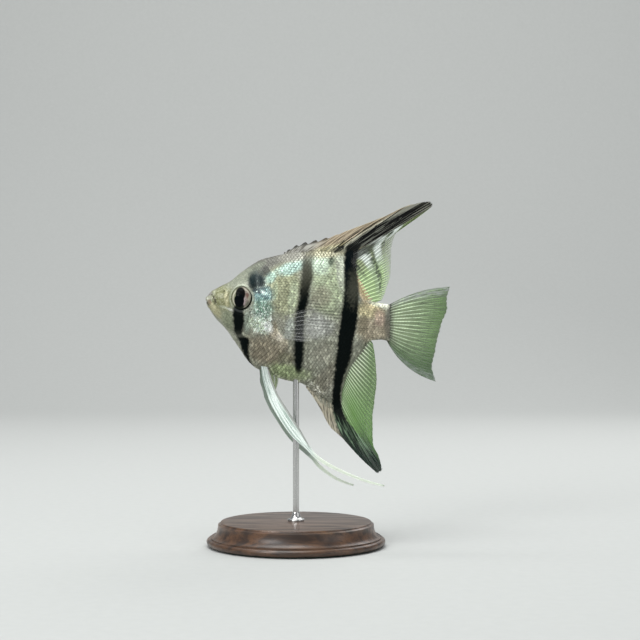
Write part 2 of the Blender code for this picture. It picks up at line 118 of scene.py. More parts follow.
CAUDAL_RAYS = (
    (58.9, -2.0, 80.1, 4.4, 1.5), (58.5, -3.5, 79.1, 0.6, 0.9), (58.2, -5.3, 78.9, -3.0, 0.5),
    (58.0, -7.2, 77.2, -7.6, 0.0), (58.0, -9.1, 75.9, -12.2, -0.3),
    (58.2, -10.9, 74.9, -17.0, -0.8), (58.5, -12.2, 74.0, -21.6, -1.5),
    (58.8, -13.0, 75.4, -26.7, -2.4),
)
PECTORAL_RAYS = (
    (20.9, -7.0, 35.2, -2.4, 0.4), (20.8, -8.2, 38.2, -4.6, 0.3), (20.6, -9.4, 39.0, -8.0, 0.1),
    (20.4, -10.5, 37.6, -11.6, -0.1), (20.2, -11.6, 33.4, -13.6, -0.3),
)
PECTORAL_ROOT = 5.2
PECTORAL_SPREAD = 5.0
DORSAL_LEAN = 0.9
ANAL_LEAN = -0.9
CAUDAL_TWIST = 1.0

# Pelvic fins: middle line x, z, width across, distance from the midline.
PELVIC_LEFT = (
    (18.9, -20.6, 2.0, 1.4), (20.2, -26.0, 2.9, 2.3), (21.4, -29.4, 3.1, 2.8),
    (22.9, -32.8, 3.5, 3.1), (25.7, -37.4, 3.8, 3.3), (28.9, -42.2, 3.6, 3.4),
    (31.2, -45.2, 2.6, 3.4), (33.2, -47.6, 1.7, 3.4), (35.6, -50.3, 1.3, 3.3),
    (38.8, -52.6, 1.2, 3.2), (42.1, -54.4, 1.1, 3.1), (48.6, -57.3, 0.9, 2.9),
    (53.5, -59.0, 0.8, 2.7), (58.0, -60.2, 0.6, 2.5),
)
PELVIC_RIGHT = (
    (18.4, -20.4, 2.6, 1.4), (20.6, -25.8, 6.2, 2.5), (20.6, -30.2, 3.9, 3.1),
    (21.8, -34.0, 3.4, 3.5), (24.4, -38.2, 3.6, 3.8), (27.5, -43.2, 3.3, 4.0),
    (30.4, -47.2, 2.2, 4.1), (32.9, -49.8, 1.6, 4.1), (35.0, -51.9, 1.3, 4.0),
    (36.6, -54.0, 1.2, 3.9), (39.2, -56.2, 1.1, 3.8), (42.2, -58.2, 1.0, 3.7),
    (45.2, -59.6, 0.8, 3.6), (48.2, -60.6, 0.6, 3.5),
)

HEAD_END = 26.0                   # the head's relief ends before this

# ---- depth of the coat ----
SKIN_DEPTH = 0.20                 # the flank's skin lies this far inside the outer surface
HEAD_DEPTH = 0.10


# ---------------------------------------------------------------- form
def smooth_line(points):
    """A smooth function through (x, value) points that never overshoots them. Takes arrays."""
    xs = np.array([p[0] for p in points], dtype=float)
    values = np.array([p[1] for p in points], dtype=float)
    rises = np.diff(values) / np.diff(xs)
    before, after = rises[:-1], rises[1:]
    total = np.where(before + after == 0, 1.0, before + after)
    inner = np.where(before * after > 0, 2 * before * after / total, 0.0)
    slopes = np.concatenate(([rises[0]], inner, [rises[-1]]))

    def value(x):
        x = np.clip(x, xs[0], xs[-1])
        i = np.clip(np.searchsorted(xs, x) - 1, 0, len(xs) - 2)
        span = xs[i + 1] - xs[i]
        t = (x - xs[i]) / span
        rest = 1 - t
        ends = values[i] * rest * rest * (1 + 2 * t) + values[i + 1] * t * t * (3 - 2 * t)
        return ends + span * t * rest * (slopes[i] * rest - slopes[i + 1] * t)

    return value


def blended(rows):
    """A function of 0..1 that runs smoothly through rows of numbers."""
    count = len(rows) - 1
    columns = [smooth_line([(i / count, row[k]) for i, row in enumerate(rows)])
               for k in range(len(rows[0]))]
    return lambda t: [column(t) for column in columns]


back = smooth_line(BACK_LINE)
belly = smooth_line(BELLY_LINE)
half_width = smooth_line(HALF_WIDTH)
keel = smooth_line(KEEL)
head_edge = smooth_line([(z, x) for x, z in reversed(HEAD_EDGE)])


def step(low, high, value):
    """A smooth step from 0 to 1 between low and high."""
    t = np.clip((value - low) / (high - low), 0.0, 1.0)
    return t * t * (3 - 2 * t)


def place(x, y, z):
    """Drawing points, millimetres, to the frame, metres, as an N by 3 array."""
    swing = TAIL_SWING * np.maximum(0.0, (x - SWING_START) / (SWING_END - SWING_START)) ** 2
    return np.stack(((x + SNOUT_X) * MM, (y + swing) * MM, (z + SNOUT_Z) * MM), axis=-1)


def level_at(x):
    return -LEVEL_FALL * x


def section(x, turn, depth=0.0):
    """y and z of the body's surface at x, at the angle turn from its widest level."""
    level = level_at(x)
    up = np.sin(turn)
    reach = np.where(up > 0, back(x) - level, level - belly(x)) - depth
    z = level + np.maximum(reach, 0.02) * up
    side = np.cos(turn)
    y = np.maximum(half_width(x) - depth, 0.05) * np.sign(side) * np.abs(side) ** keel(x)
    return y, z


def skin_depth(x, z):
    """How far the skin lies inside the outer surface: less on the head than on the flank."""
    return HEAD_DEPTH + (SKIN_DEPTH - HEAD_DEPTH) * step(-0.5, 1.0, x - head_edge(z))


# ---------------------------------------------------------------- meshes
def bm_arrays(bm):
    """A bmesh's vertex places and faces, and frees it."""
    bm.verts.index_update()
    points = np.array([v.co[:] for v in bm.verts])
    faces = [tuple(v.index for v in f.verts) for f in bm.faces]
    bm.free()
    return points, faces


def add_object(name, data):
    made = bpy.data.objects.new(name, data)
    bpy.context.scene.collection.objects.link(made)
    return made


def finish_piece(name, mesh, look, slot, nodes):
    """Names a piece, gives it its finish and ties it to the fish."""
    mesh.shade_smooth()
    mesh.materials.append(look)
    made = add_object(name, mesh)
    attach(made, BODY)
    if nodes:
        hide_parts(*nodes)
    return made


def copies(name, faces, places, layer=None, values=None, bake_uv=None):
    """One mesh of many copies of a template. places and values are (copies, points, 3) arrays."""
    count, size = places.shape[:2]
    all_faces = [tuple(i + k * size for i in face) for k in range(count) for face in faces]
    mesh = bpy.data.meshes.new(name)
    mesh.from_pydata(places.reshape(-1, 3).tolist(), [], all_faces)
    if layer:
        kept = mesh.attributes.new(layer, "FLOAT_VECTOR", "POINT")
        kept.data.foreach_set("vector", values.astype(np.float32).ravel())
    if bake_uv is not None:
        uv_layer = mesh.uv_layers.new(name="OFBake")
        corner = np.empty(len(mesh.loops), dtype=np.int32)
        mesh.loops.foreach_get("vertex_index", corner)
        uv_layer.data.foreach_set("uv", bake_uv.reshape(-1, 2)[corner].astype(np.float32).ravel())
    return mesh


def outward(bm):
    """Points a closed bmesh's faces outwards."""
    bm.normal_update()
    bmesh.ops.recalc_face_normals(bm, faces=bm.faces)


def turn_outward(mesh):
    """Points a closed mesh's faces outwards."""
    bm = bmesh.new()
    bm.from_mesh(mesh)
    outward(bm)
    bm.to_mesh(mesh)
    bm.free()


def bm_mesh(name, bm):
    """A mesh of a bmesh, and frees it."""
    mesh = bpy.data.meshes.new(name)
    bm.to_mesh(mesh)
    bm.free()
    return mesh


def run_along(x, z):
    """How far along a line of points each one is."""
    return np.concatenate(([0.0], np.cumsum(np.hypot(np.diff(x), np.diff(z)))))


def ball(around, along):
    """A closed ball as a template: columns are along 0..1, and cosine and sine round it."""
    bm = bmesh.new()
    bmesh.ops.create_uvsphere(bm, u_segments=around, v_segments=along, radius=1.0)
    points, faces = bm_arrays(bm)
    ring = np.hypot(points[:, 0], points[:, 1])
    pole = ring < 1e-6
    safe = np.where(pole, 1.0, ring)
    share = np.arccos(np.clip(points[:, 2], -1, 1)) / math.pi
    cosine = np.where(pole, 0.0, points[:, 0] / safe)
    sine = np.where(pole, 0.0, points[:, 1] / safe)
    return np.stack((share, cosine, sine), axis=-1), faces


def slab(across, along):
    """A closed thin slab as a template: u and v in 0..1, and -1 or +1 for its two faces."""
    bm = bmesh.new()
    bmesh.ops.create_grid(bm, x_segments=across, y_segments=along, size=0.5)
    base = list(bm.faces)
    bmesh.ops.translate(bm, verts=bm.verts, vec=(0.5, 0.5, -1.0))
    grown = bmesh.ops.extrude_face_region(bm, geom=base, use_keep_orig=True)
    top = [item for item in grown["geom"] if isinstance(item, bmesh.types.BMVert)]
    bmesh.ops.translate(bm, verts=top, vec=(0.0, 0.0, 2.0))
    return bm_arrays(bm)


# ---------------------------------------------------------------- node helpers
# The Mix node's sockets for colours, which share their names with those for numbers.
COLOUR_A, COLOUR_B, COLOUR_RESULT = 6, 7, 2


def node(tree, kind, **settings):
    made = tree.nodes.new(kind)
    for key, value in settings.items():
        setattr(made, key, value)
    return made


def feed(tree, source, socket):
    """Links a socket, or sets a plain value."""
    if isinstance(source, bpy.types.NodeSocket):
        tree.links.new(source, socket)
    elif isinstance(source, (tuple, list)) and len(source) == 3 and socket.type == "RGBA":
        socket.default_value = (*source, 1.0)
    else:
        socket.default_value = source


def feed_all(tree, made, **sources):
    """Feeds a node's sockets by name; underscores in keys stand for spaces."""
    for key, source in sources.items():
        feed(tree, source, made.inputs[key.replace("_", " ")])


def maths(tree, operation, *values, clamp=False):
    made = node(tree, "ShaderNodeMath", operation=operation, use_clamp=clamp)
    for socket, value in zip(made.inputs, values):
        feed(tree, value, socket)
    return made.outputs[0]


def times(tree, first, *others):
    """The product of two or more values."""
    for other in others:
        first = maths(tree, "MULTIPLY", first, other)
    return first


def plus(tree, a, b):
    return maths(tree, "ADD", a, b)


def minus(tree, a, b):
    return maths(tree, "SUBTRACT", a, b)


def scaled(tree, value, slope, offset):
    """value * slope + offset."""
    return maths(tree, "MULTIPLY_ADD", value, slope, offset)


def most(tree, a, b):
    return maths(tree, "MAXIMUM", a, b)


def apart(tree, a, b):
    """How far apart two values are."""
    return maths(tree, "ABSOLUTE", minus(tree, a, b))


def split(tree, vector):
    """The three parts of a vector."""
    made = node(tree, "ShaderNodeSeparateXYZ")
    feed(tree, vector, made.inputs[0])
    return tuple(made.outputs)


def mix(tree, share, low, high, blend="MIX"):
    """Two colours mixed by a share."""
    made = node(tree, "ShaderNodeMix", data_type="RGBA", blend_type=blend, clamp_factor=True)
    feed(tree, share, made.inputs["Factor"])
    feed(tree, low, made.inputs[COLOUR_A])
    feed(tree, high, made.inputs[COLOUR_B])
    return made.outputs[COLOUR_RESULT]


def gained(tree, colour, gain):
    """A colour made brighter or darker by a value."""
    return mix(tree, 1.0, colour, gain, "MULTIPLY")


def between(tree, value, low, high, out_low=0.0, out_high=1.0):
    """A value's smooth place between low and high."""
    made = node(tree, "ShaderNodeMapRange", interpolation_type="SMOOTHSTEP")
    for socket, number in zip(made.inputs, (value, low, high, out_low, out_high)):
        feed(tree, number, socket)
    return made.outputs["Result"]


def noise(tree, where, scale, detail=2.0, rough=0.5, warp=0.0):
    """Soft noise round 0.5."""
    made = node(tree, "ShaderNodeTexNoise")
    feed_all(tree, made, Vector=where, Scale=scale, Detail=detail, Roughness=rough, Distortion=warp)
    return made.outputs["Fac"]


def drawn_curve(tree, value, points, low, high):
    """A smooth curve of a value: points are (value, result), results between low and high."""
    first, last = points[0][0], points[-1][0]
    share = maths(tree, "DIVIDE", minus(tree, value, first), last - first, clamp=True)
    made = node(tree, "ShaderNodeFloatCurve")
    feed(tree, share, made.inputs["Value"])
    curve = made.mapping.curves[0]
    spots = [((x - first) / (last - first), (y - low) / (high - low)) for x, y in points]
    curve.points[0].location = spots[0]
    curve.points[1].location = spots[-1]
    for spot in spots[1:-1]:
        curve.points.new(*spot)
    made.mapping.update()
    return scaled(tree, made.outputs["Value"], high - low, low)


def group(name, inputs, outputs):
    """An empty shader group with named sockets, and its input and output nodes."""
    tree = bpy.data.node_groups.new(name, "ShaderNodeTree")
    for label, kind in inputs:
        tree.interface.new_socket(label, in_out="INPUT", socket_type=kind)
    for label, kind in outputs:
        tree.interface.new_socket(label, in_out="OUTPUT", socket_type=kind)
    return tree, node(tree, "NodeGroupInput"), node(tree, "NodeGroupOutput")


def marks_at(tree, where):
    """The markings at a place. markings_group() comes before it."""
    made = node(tree, "ShaderNodeGroup", node_tree=bpy.data.node_groups[MARKINGS])
    feed(tree, where, made.inputs["Place"])
    return made.outputs


def new_material(name, roughness=0.4, metallic=0.0, **constants):
    """A node material and its Principled shader; constants go straight on its sockets."""
    made = bpy.data.materials.new(name)
    made.use_nodes = True
    shader = made.node_tree.nodes["Principled BSDF"]
    feed_all(made.node_tree, shader, Roughness=roughness, Metallic=metallic, **constants)
    return made, made.node_tree, shader


def bump(tree, shader, height, strength, distance):
    made = node(tree, "ShaderNodeBump")
    feed_all(tree, made, Strength=strength, Distance=distance, Height=height)
    feed(tree, made.outputs["Normal"], shader.inputs["Normal"])


def object_place(tree):
    return node(tree, "ShaderNodeTexCoord").outputs["Object"]


def piece_layer(tree, name):
    """A piece's own attribute."""
    return node(tree, "ShaderNodeAttribute", attribute_name=name).outputs["Vector"]


def drawing_place(tree):
    """Each point's place in the drawing, millimetres."""
    moved = node(tree, "ShaderNodeMapping", vector_type="POINT")
    feed_all(tree, moved, Vector=object_place(tree), Location=(-SNOUT_X, 0.0, -SNOUT_Z),
             Scale=(1 / MM, 1 / MM, 1 / MM))
    return moved.outputs["Vector"]


# ---------------------------------------------------------------- markings
# Upright bars: (height, middle, half width, strength) down each bar.
EYE_BAR = (
    (1.0, 12.0, 1.3, 0.4), (-3.4, 10.95, 1.8, 1.0), (-6.5, 11.0, 1.85, 1.0),
    (-9.2, 10.9, 1.6, 1.0), (-10.8, 10.9, 1.3, 0.9), (-11.7, 11.6, 1.4, 0.8),
    (-12.5, 12.4, 1.7, 1.0), (-14.6, 12.75, 1.45, 1.0), (-16.4, 13.05, 1.05, 1.0),
    (-18.2, 13.5, 0.75, 1.0), (-20.0, 14.3, 0.55, 0.9), (-22.0, 15.6, 0.4, 0.3),
)
NAPE_BAR = (
    (10.8, 16.6, 0.9, 0.0), (9.2, 15.9, 1.1, 0.40), (7.6, 15.6, 1.3, 0.85), (5.6, 15.5, 1.4, 1.0),
    (4.3, 15.6, 1.3, 0.95), (3.2, 15.7, 1.0, 0.5), (2.4, 15.6, 0.9, 0.0),
)
NAPE_SMUDGE = (
    (9.6, 18.6, 0.7, 0.0), (7.8, 18.1, 1.0, 0.60), (6.0, 18.05, 1.1, 0.85),
    (4.9, 18.2, 1.0, 0.70), (3.4, 18.3, 0.7, 0.0),
)
MIDDLE_BAR = (
    (16.0, 33.6, 1.5, 0.35), (13.6, 33.4, 1.7, 0.55), (11.4, 33.2, 1.75, 0.85),
    (7.0, 33.0, 1.85, 0.95), (3.2, 32.3, 1.7, 1.0), (-0.3, 31.9, 1.65, 1.0),
    (-3.9, 31.1, 1.6, 1.0), (-7.5, 30.7, 1.6, 1.0), (-11.0, 30.5, 1.5, 1.0),
    (-14.6, 30.45, 1.65, 1.0), (-18.2, 30.35, 1.6, 1.0), (-21.8, 30.3, 1.15, 1.0),
    (-24.0, 30.4, 0.5, 0.2),
)
REAR_BAR = (
    (18.6, 48.6, 2.2, 0.0), (16.8, 47.9, 2.2, 1.0), (15.0, 47.4, 2.1, 1.0),
    (11.4, 47.1, 2.1, 1.0), (3.2, 47.4, 2.35, 1.0), (-3.2, 46.9, 2.65, 1.0),
    (-8.1, 46.35, 2.7, 1.0), (-13.0, 45.5, 2.5, 1.0), (-18.0, 44.9, 2.45, 1.0),
    (-24.4, 43.4, 1.65, 1.0), (-30.0, 42.6, 1.4, 1.0), (-37.0, 43.3, 1.8, 1.0),
    (-45.5, 47.9, 3.2, 0.9), (-51.7, 52.6, 3.5, 0.85), (-57.0, 56.5, 2.2, 0.8),
)
TAIL_BAR = (
    (-0.5, 61.6, 1.1, 0.1), (-3.0, 60.4, 1.3, 0.55), (-6.4, 59.6, 1.4, 0.75),
    (-9.0, 59.6, 1.4, 0.75), (-12.2, 60.2, 1.3, 0.6), (-16.0, 62.2, 1.0, 0.1),
)
# Each bar and how soft its edges are, millimetres.
BARS = (
    (EYE_BAR, 0.5), (NAPE_BAR, 1.1), (NAPE_SMUDGE, 0.9), (MIDDLE_BAR, 0.75), (REAR_BAR, 0.5),
    (TAIL_BAR, 0.9),
)
BAR_LIMITS = (70.0, 4.0, 1.0)     # above every middle, half width and strength
BAR_FADE = 0.6                    # past a bar's first and last rows


def bar_mask(tree, x, z, ragged, rows, softness):
    """How dark a bar is at x, z."""
    rising = sorted(rows)
    low, high = rising[0][0], rising[-1][0]
    middle, half, strength = (
        drawn_curve(tree, z, [(row[0], row[k]) for row in rising], 0.0, limit)
        for k, limit in enumerate(BAR_LIMITS, 1))
    edge = plus(tree, minus(tree, apart(tree, x, middle), half), ragged)
    inside = between(tree, edge, softness, -softness)
    ends = times(tree, between(tree, z, low - BAR_FADE, low),
                 between(tree, z, high + BAR_FADE, high))
    return maths(tree, "MULTIPLY", times(tree, inside, strength), ends, clamp=True)


def oval(tree, x, z, middle, radii, turn=0.0):
    """Distance from a point, 1 on the oval's edge. turn is in degrees."""
    dx = minus(tree, x, middle[0])
    dz = minus(tree, z, middle[1])
    c, s = math.cos(math.radians(turn)), math.sin(math.radians(turn))
    along = scaled(tree, dx, c / radii[0], times(tree, dz, s / radii[0]))
    across = scaled(tree, dz, c / radii[1], times(tree, dx, -s / radii[1]))
    return maths(tree, "SQRT", scaled(tree, along, along, times(tree, across, across)))


# The two shades that the ground colour wanders between.
GROUND_LOW = (0.245, 0.25, 0.195)
GROUND_HIGH = (0.36, 0.37, 0.30)
# Soft ovals of colour: (colour, middle, radii, turn, strength).
BODY_PATCHES = (
    ((0.365, 0.38, 0.24), (25.5, 3.5), (5.6, 8.5), 0, 0.9),        # olive-gold behind the head
    ((0.52, 0.58, 0.40), (28.6, 0.5), (1.5, 5.2), -5, 0.85),       # pale edge before the middle bar
    ((0.42, 0.46, 0.41), (27.4, -9.0), (1.5, 3.2), -10, 0.85),     # blue-grey below it
    ((0.43, 0.49, 0.33), (22.9, 3.0), (0.8, 2.6), 0, 0.8),         # pale edge behind the gill cover
    ((0.49, 0.56, 0.37), (39.8, 5.0), (5.6, 9.5), 5, 0.9),         # pale olive below the dorsal
    ((0.27, 0.24, 0.19), (37.6, 1.2), (3.2, 3.4), 0, 0.6),         # pinkish middle of the flank
    ((0.46, 0.47, 0.44), (36.4, -8.6), (5.0, 3.8), 0, 0.8),        # pale grey middle band
    ((0.345, 0.34, 0.275), (38.0, -17.5), (3.4, 3.0), 0, 0.8),     # paler lower flank
    ((0.31, 0.31, 0.26), (40.4, -28.4), (1.8, 3.0), 0, 0.8),       # paler above the anal fin
    ((0.42, 0.57, 0.50), (27.6, 10.2), (4.6, 1.9), 20, 0.95),      # cyan sheen on the nape
    ((0.47, 0.66, 0.56), (21.4, 7.2), (2.2, 1.5), 55, 0.8),        # cyan sheen behind the nape bar
    ((0.60, 0.72, 0.58), (37.2, 11.6), (3.4, 3.2), 0, 0.85),       # cyan sheen below the dorsal
    ((0.58, 0.62, 0.50), (43.9, 9.0), (1.4, 6.0), 5, 0.8),         # pale edge before the rear bar
    ((0.74, 0.78, 0.64), (44.4, 10.8), (0.7, 3.2), 4, 0.8),        # painted highlight: white speckle by the rear bar
    ((0.085, 0.11, 0.08), (40.9, 12.6), (1.0, 1.7), -10, 0.85),    # dark speckle below the dorsal
    ((0.155, 0.152, 0.133), (21.5, 13.2), (13.5, 2.8), 25, 0.95),  # brown-grey back
    ((0.29, 0.285, 0.245), (29.5, 14.6), (6.0, 1.8), 14, 0.9),     # grey back below the spines
    ((0.195, 0.21, 0.165), (17.6, 11.3), (2.2, 1.1), 28, 0.75),    # grey-green top of the nape
    ((0.27, 0.23, 0.165), (20.5, -16.5), (7.5, 4.6), -15, 0.9),    # pink-brown breast
    ((0.50, 0.45, 0.34), (25.0, -14.0), (1.9, 1.7), -30, 0.85),    # paler behind it
    ((0.19, 0.19, 0.125), (26.2, -19.0), (2.4, 2.2), 0, 0.75),     # darker below that
    ((0.32, 0.40, 0.20), (27.0, -23.4), (6.5, 2.4), -12, 0.85),    # green-brown belly
    ((0.60, 0.53, 0.31), (53.5, -3.4), (4.4, 3.0), 0, 0.85),       # gold tail stalk
    ((0.44, 0.37, 0.27), (54.5, -9.5), (5.5, 3.6), 0, 0.8),        # pink-grey tail stalk
    ((0.27, 0.235, 0.16), (50.8, -8.6), (1.7, 3.0), 0, 0.8),       # browner behind the rear bar
    ((0.62, 0.49, 0.31), (51.3, 3.9), (1.7, 6.0), 19, 0.95),       # gold edge below the soft dorsal
    ((0.62, 0.63, 0.49), (55.6, -1.1), (3.0, 0.9), -12, 0.9),      # painted highlight along the top of the tail stalk
    ((0.80, 0.81, 0.66), (57.9, -1.8), (2.1, 1.0), -16, 0.95),     # painted highlight: white end of it
    ((0.50, 0.375, 0.30), (56.6, -5.8), (1.8, 2.8), 0, 0.75),      # pink before the tail bar
    ((1.0, 0.92, 0.76), (23.0, -11.2), (2.5, 1.3), -40, 0.95),     # painted highlight: peach-white below the pectoral fin
    ((0.37, 0.31, 0.20), (22.6, -10.0), (1.1, 2.6), 0, 0.6),       # tan root of the pectoral fin
    ((0.20, 0.175, 0.135), (38.5, -26.0), (2.6, 6.5), -35, 0.5),   # taupe before the anal fin
    ((0.33, 0.31, 0.21), (39.0, 15.6), (6.4, 2.0), 4, 0.9),        # tan root of the dorsal fin
    ((0.030, 0.030, 0.022), (43.2, 16.4), (2.1, 0.55), 35, 0.9),   # short dark dash by the dorsal
)
HEAD_PATCHES = (
    ((0.208, 0.212, 0.105), (6.0, 0.4), (4.3, 4.8), 0, 0.95),      # olive-beige snout
    ((0.42, 0.40, 0.24), (3.6, -3.6), (3.8, 1.1), -48, 0.85),      # tan jaw
    ((0.60, 0.57, 0.36), (2.5, -1.9), (1.6, 0.6), -52, 0.85),      # its paler front
    ((0.46, 0.44, 0.265), (7.0, 0.4), (0.65, 2.6), 5, 0.85),       # straw band before the eye
    ((0.245, 0.265, 0.205), (12.0, 7.2), (5.5, 2.6), 32, 0.9),     # grey forehead
    ((0.255, 0.285, 0.195), (7.6, -6.6), (2.2, 3.4), 20, 0.9),     # darker lower cheek
    ((0.25, 0.30, 0.25), (13.7, -6.8), (1.2, 3.6), 0, 0.8),        # grey cheek behind the bar
    ((0.16, 0.28, 0.29), (18.8, 1.5), (3.4, 2.8), 0, 0.9),         # blue upper gill cover
    ((0.17, 0.29, 0.22), (18.6, -3.4), (3.2, 3.4), 0, 0.9),        # teal gill cover
    ((0.48, 0.58, 0.42), (17.6, -8.0), (3.6, 2.0), -28, 0.9),      # bright lower gill cover
    ((0.96, 0.98, 0.94), (20.7, -8.9), (1.9, 1.2), -50, 0.9),      # painted highlight: white corner of the gill cover
    ((0.60, 0.64, 0.50), (6.0, -2.3), (1.3, 0.45), -10, 0.55),     # bright marks below the eye
    ((0.78, 0.80, 0.72), (8.4, -3.2), (1.5, 0.40), -25, 0.65),
    ((0.33, 0.31, 0.30), (1.6, 1.9), (0.75, 0.5), 40, 0.8),        # pale upper lip
    ((0.24, 0.175, 0.125), (1.4, -0.6), (0.6, 0.9), 20, 0.75),     # pink lips
    ((0.045, 0.038, 0.028), (0.7, -1.0), (1.1, 0.24), -57, 0.9),   # painted shade in the mouth's slit
    ((0.055, 0.048, 0.034), (3.1, 0.2), (1.5, 0.26), -65, 0.9),    # painted shade in the crease behind the upper jaw
    ((0.060, 0.055, 0.045), (1.9, 1.75), (0.35, 0.3), 0, 0.8),     # dark dot above the lip
    ((0.060, 0.075, 0.080), (17.0, 6.0), (2.5, 2.9), -10, 0.9),    # slate cloud round the nape bar
    ((0.050, 0.070, 0.080), (16.9, 2.9), (1.4, 0.9), -10, 0.85),   # dark foot of the nape bar
    ((0.072, 0.074, 0.070), (19.9, 9.4), (1.3, 1.7), 30, 0.75),    # dusky patch above it
    ((0.58, 0.66, 0.64), (19.0, 2.4), (1.1, 0.6), -30, 0.85),      # white glint below it
)
PATCH_SOFTNESS = 0.45
LOW_SHADE = (0.12, 0.12, 0.09)     # painted shade: darker towards the belly
BAR_COLOUR = (0.0026, 0.0048, 0.0044)
NAPE_BAR_COLOUR = (0.0175, 0.0310, 0.0335)
MIDDLE_TOP_COLOUR = (0.055, 0.055, 0.040)
REAR_TOP_COLOUR = (0.0030, 0.0060, 0.0075)
TAIL_BAR_COLOUR = (0.120, 0.117, 0.096)
SLATE = (0.062, 0.064, 0.048)     # the paler middle of the rear bar
GILL_DARK = (0.05, 0.085, 0.085)
# Bright gill flecks: partly iridescent colour, partly painted glints.
GILL_BRIGHT = (0.60, 0.74, 0.66)
# Painted highlight: white glint curls on the lower gill cover.
CURL_HIGHLIGHT = (0.95, 0.98, 0.93)
ANAL_SPECK = (0.78, 0.77, 0.68)
EYE_RING_PALE = (0.42, 0.46, 0.36)
# Painted shadow round the low rear of the eye.
EYE_RING_SHADOW = (0.025, 0.032, 0.026)
EYE_RING_GREY = (0.17, 0.18, 0.18)
# Ovals that bound a pattern: middle, radii and turn.
GILL_AREA = ((18.2, -3.0), (4.2, 9.0))
LOW_GILL_AREA = ((18.6, -6.6), (3.9, 4.6))
LINED_AREA = ((38.0, -4.5), (6.5, 5.5))
ANAL_SPECK_AREA = ((35.9, -29.3), (2.2, 4.2), 35)
SLATE_AREA = ((48.3, 4.0), (2.6, 6.4), -4)
DULL_BACK_AREA = ((21.5, 13.2), (14.5, 3.6), 25)
MARKINGS = "markings"


def patch_colours(tree, x, z, wander, broad):
    """The ground colour with its soft patches."""
    colour = mix(tree, between(tree, broad, -0.2, 0.2), GROUND_LOW, GROUND_HIGH)
    for shade, middle, radii, turn, strength in BODY_PATCHES + HEAD_PATCHES:
        away = plus(tree, oval(tree, x, z, middle, radii, turn), wander)
        mask = between(tree, away, 1.0 + PATCH_SOFTNESS, 1.0 - PATCH_SOFTNESS, 0.0, strength)
        colour = mix(tree, mask, colour, shade)
    return colour


def pattern_colours(tree, where, x, z, wander, colour):
    """Flecks on the gill cover, partly painted glints, and curls of painted highlight on its lower
    part; level rows on the flank; specks by the anal fin.
    """
    def within(area, edge):
        return between(tree, plus(tree, oval(tree, x, z, *area), wander), edge, 0.7)

    # Flecks on the gill cover: dark ones, and bright ones that are partly iridescent colour and
    # partly painted glints.
    flecks = noise(tree, where, 1.15, 3.0, 0.75)
    on_gill = within(GILL_AREA, 1.2)
    bright = times(tree, between(tree, flecks, 0.53, 0.63), on_gill)
    dim = times(tree, between(tree, flecks, 0.46, 0.34), on_gill)
    colour = mix(tree, times(tree, dim, 0.65), colour, GILL_DARK)
    colour = mix(tree, times(tree, bright, 0.85), colour, GILL_BRIGHT)
    # Painted highlights: thin white curls of glint over the lower gill cover.
    near_curl = apart(tree, noise(tree, where, 0.85, 1.0, 0.5, 0.8), 0.5)
    curl_highlights = times(tree, between(tree, near_curl, 0.040, 0.012), within(LOW_GILL_AREA, 1.2))
    colour = mix(tree, times(tree, curl_highlights, 0.8), colour, CURL_HIGHLIGHT)

    rows = maths(tree, "SINE", scaled(tree, z, 6.0, times(tree, x, 0.35)))
    lined = times(tree, rows, within(LINED_AREA, 1.3))
    colour = gained(tree, colour, scaled(tree, lined, 0.24, 1.0))
    by_anal = between(tree, oval(tree, x, z, *ANAL_SPECK_AREA), 1.2, 0.7)
    specks = times(tree, between(tree, flecks, 0.53, 0.60), by_anal)
    return mix(tree, times(tree, specks, 0.8), colour, ANAL_SPECK)


def bar_colours(tree, x, z, fine):
    """The bars' own colours: paler at the top, and slate in the middle of the rear one."""
    top = mix(tree, between(tree, x, 24.0, 27.0), NAPE_BAR_COLOUR, MIDDLE_TOP_COLOUR)
    top = mix(tree, between(tree, x, 37.0, 40.0), top, REAR_TOP_COLOUR)
    up_bar = scaled(tree, fine, 5.0, z)
    shade = mix(tree, between(tree, up_bar, -1.0, 9.0), BAR_COLOUR, top)
    paler = scaled(tree, fine, 1.6, oval(tree, x, z, *SLATE_AREA))
    shade = mix(tree, between(tree, paler, 1.35, 0.35), shade, SLATE)
    return mix(tree, between(tree, x, 55.0, 57.0), shade, TAIL_BAR_COLOUR)


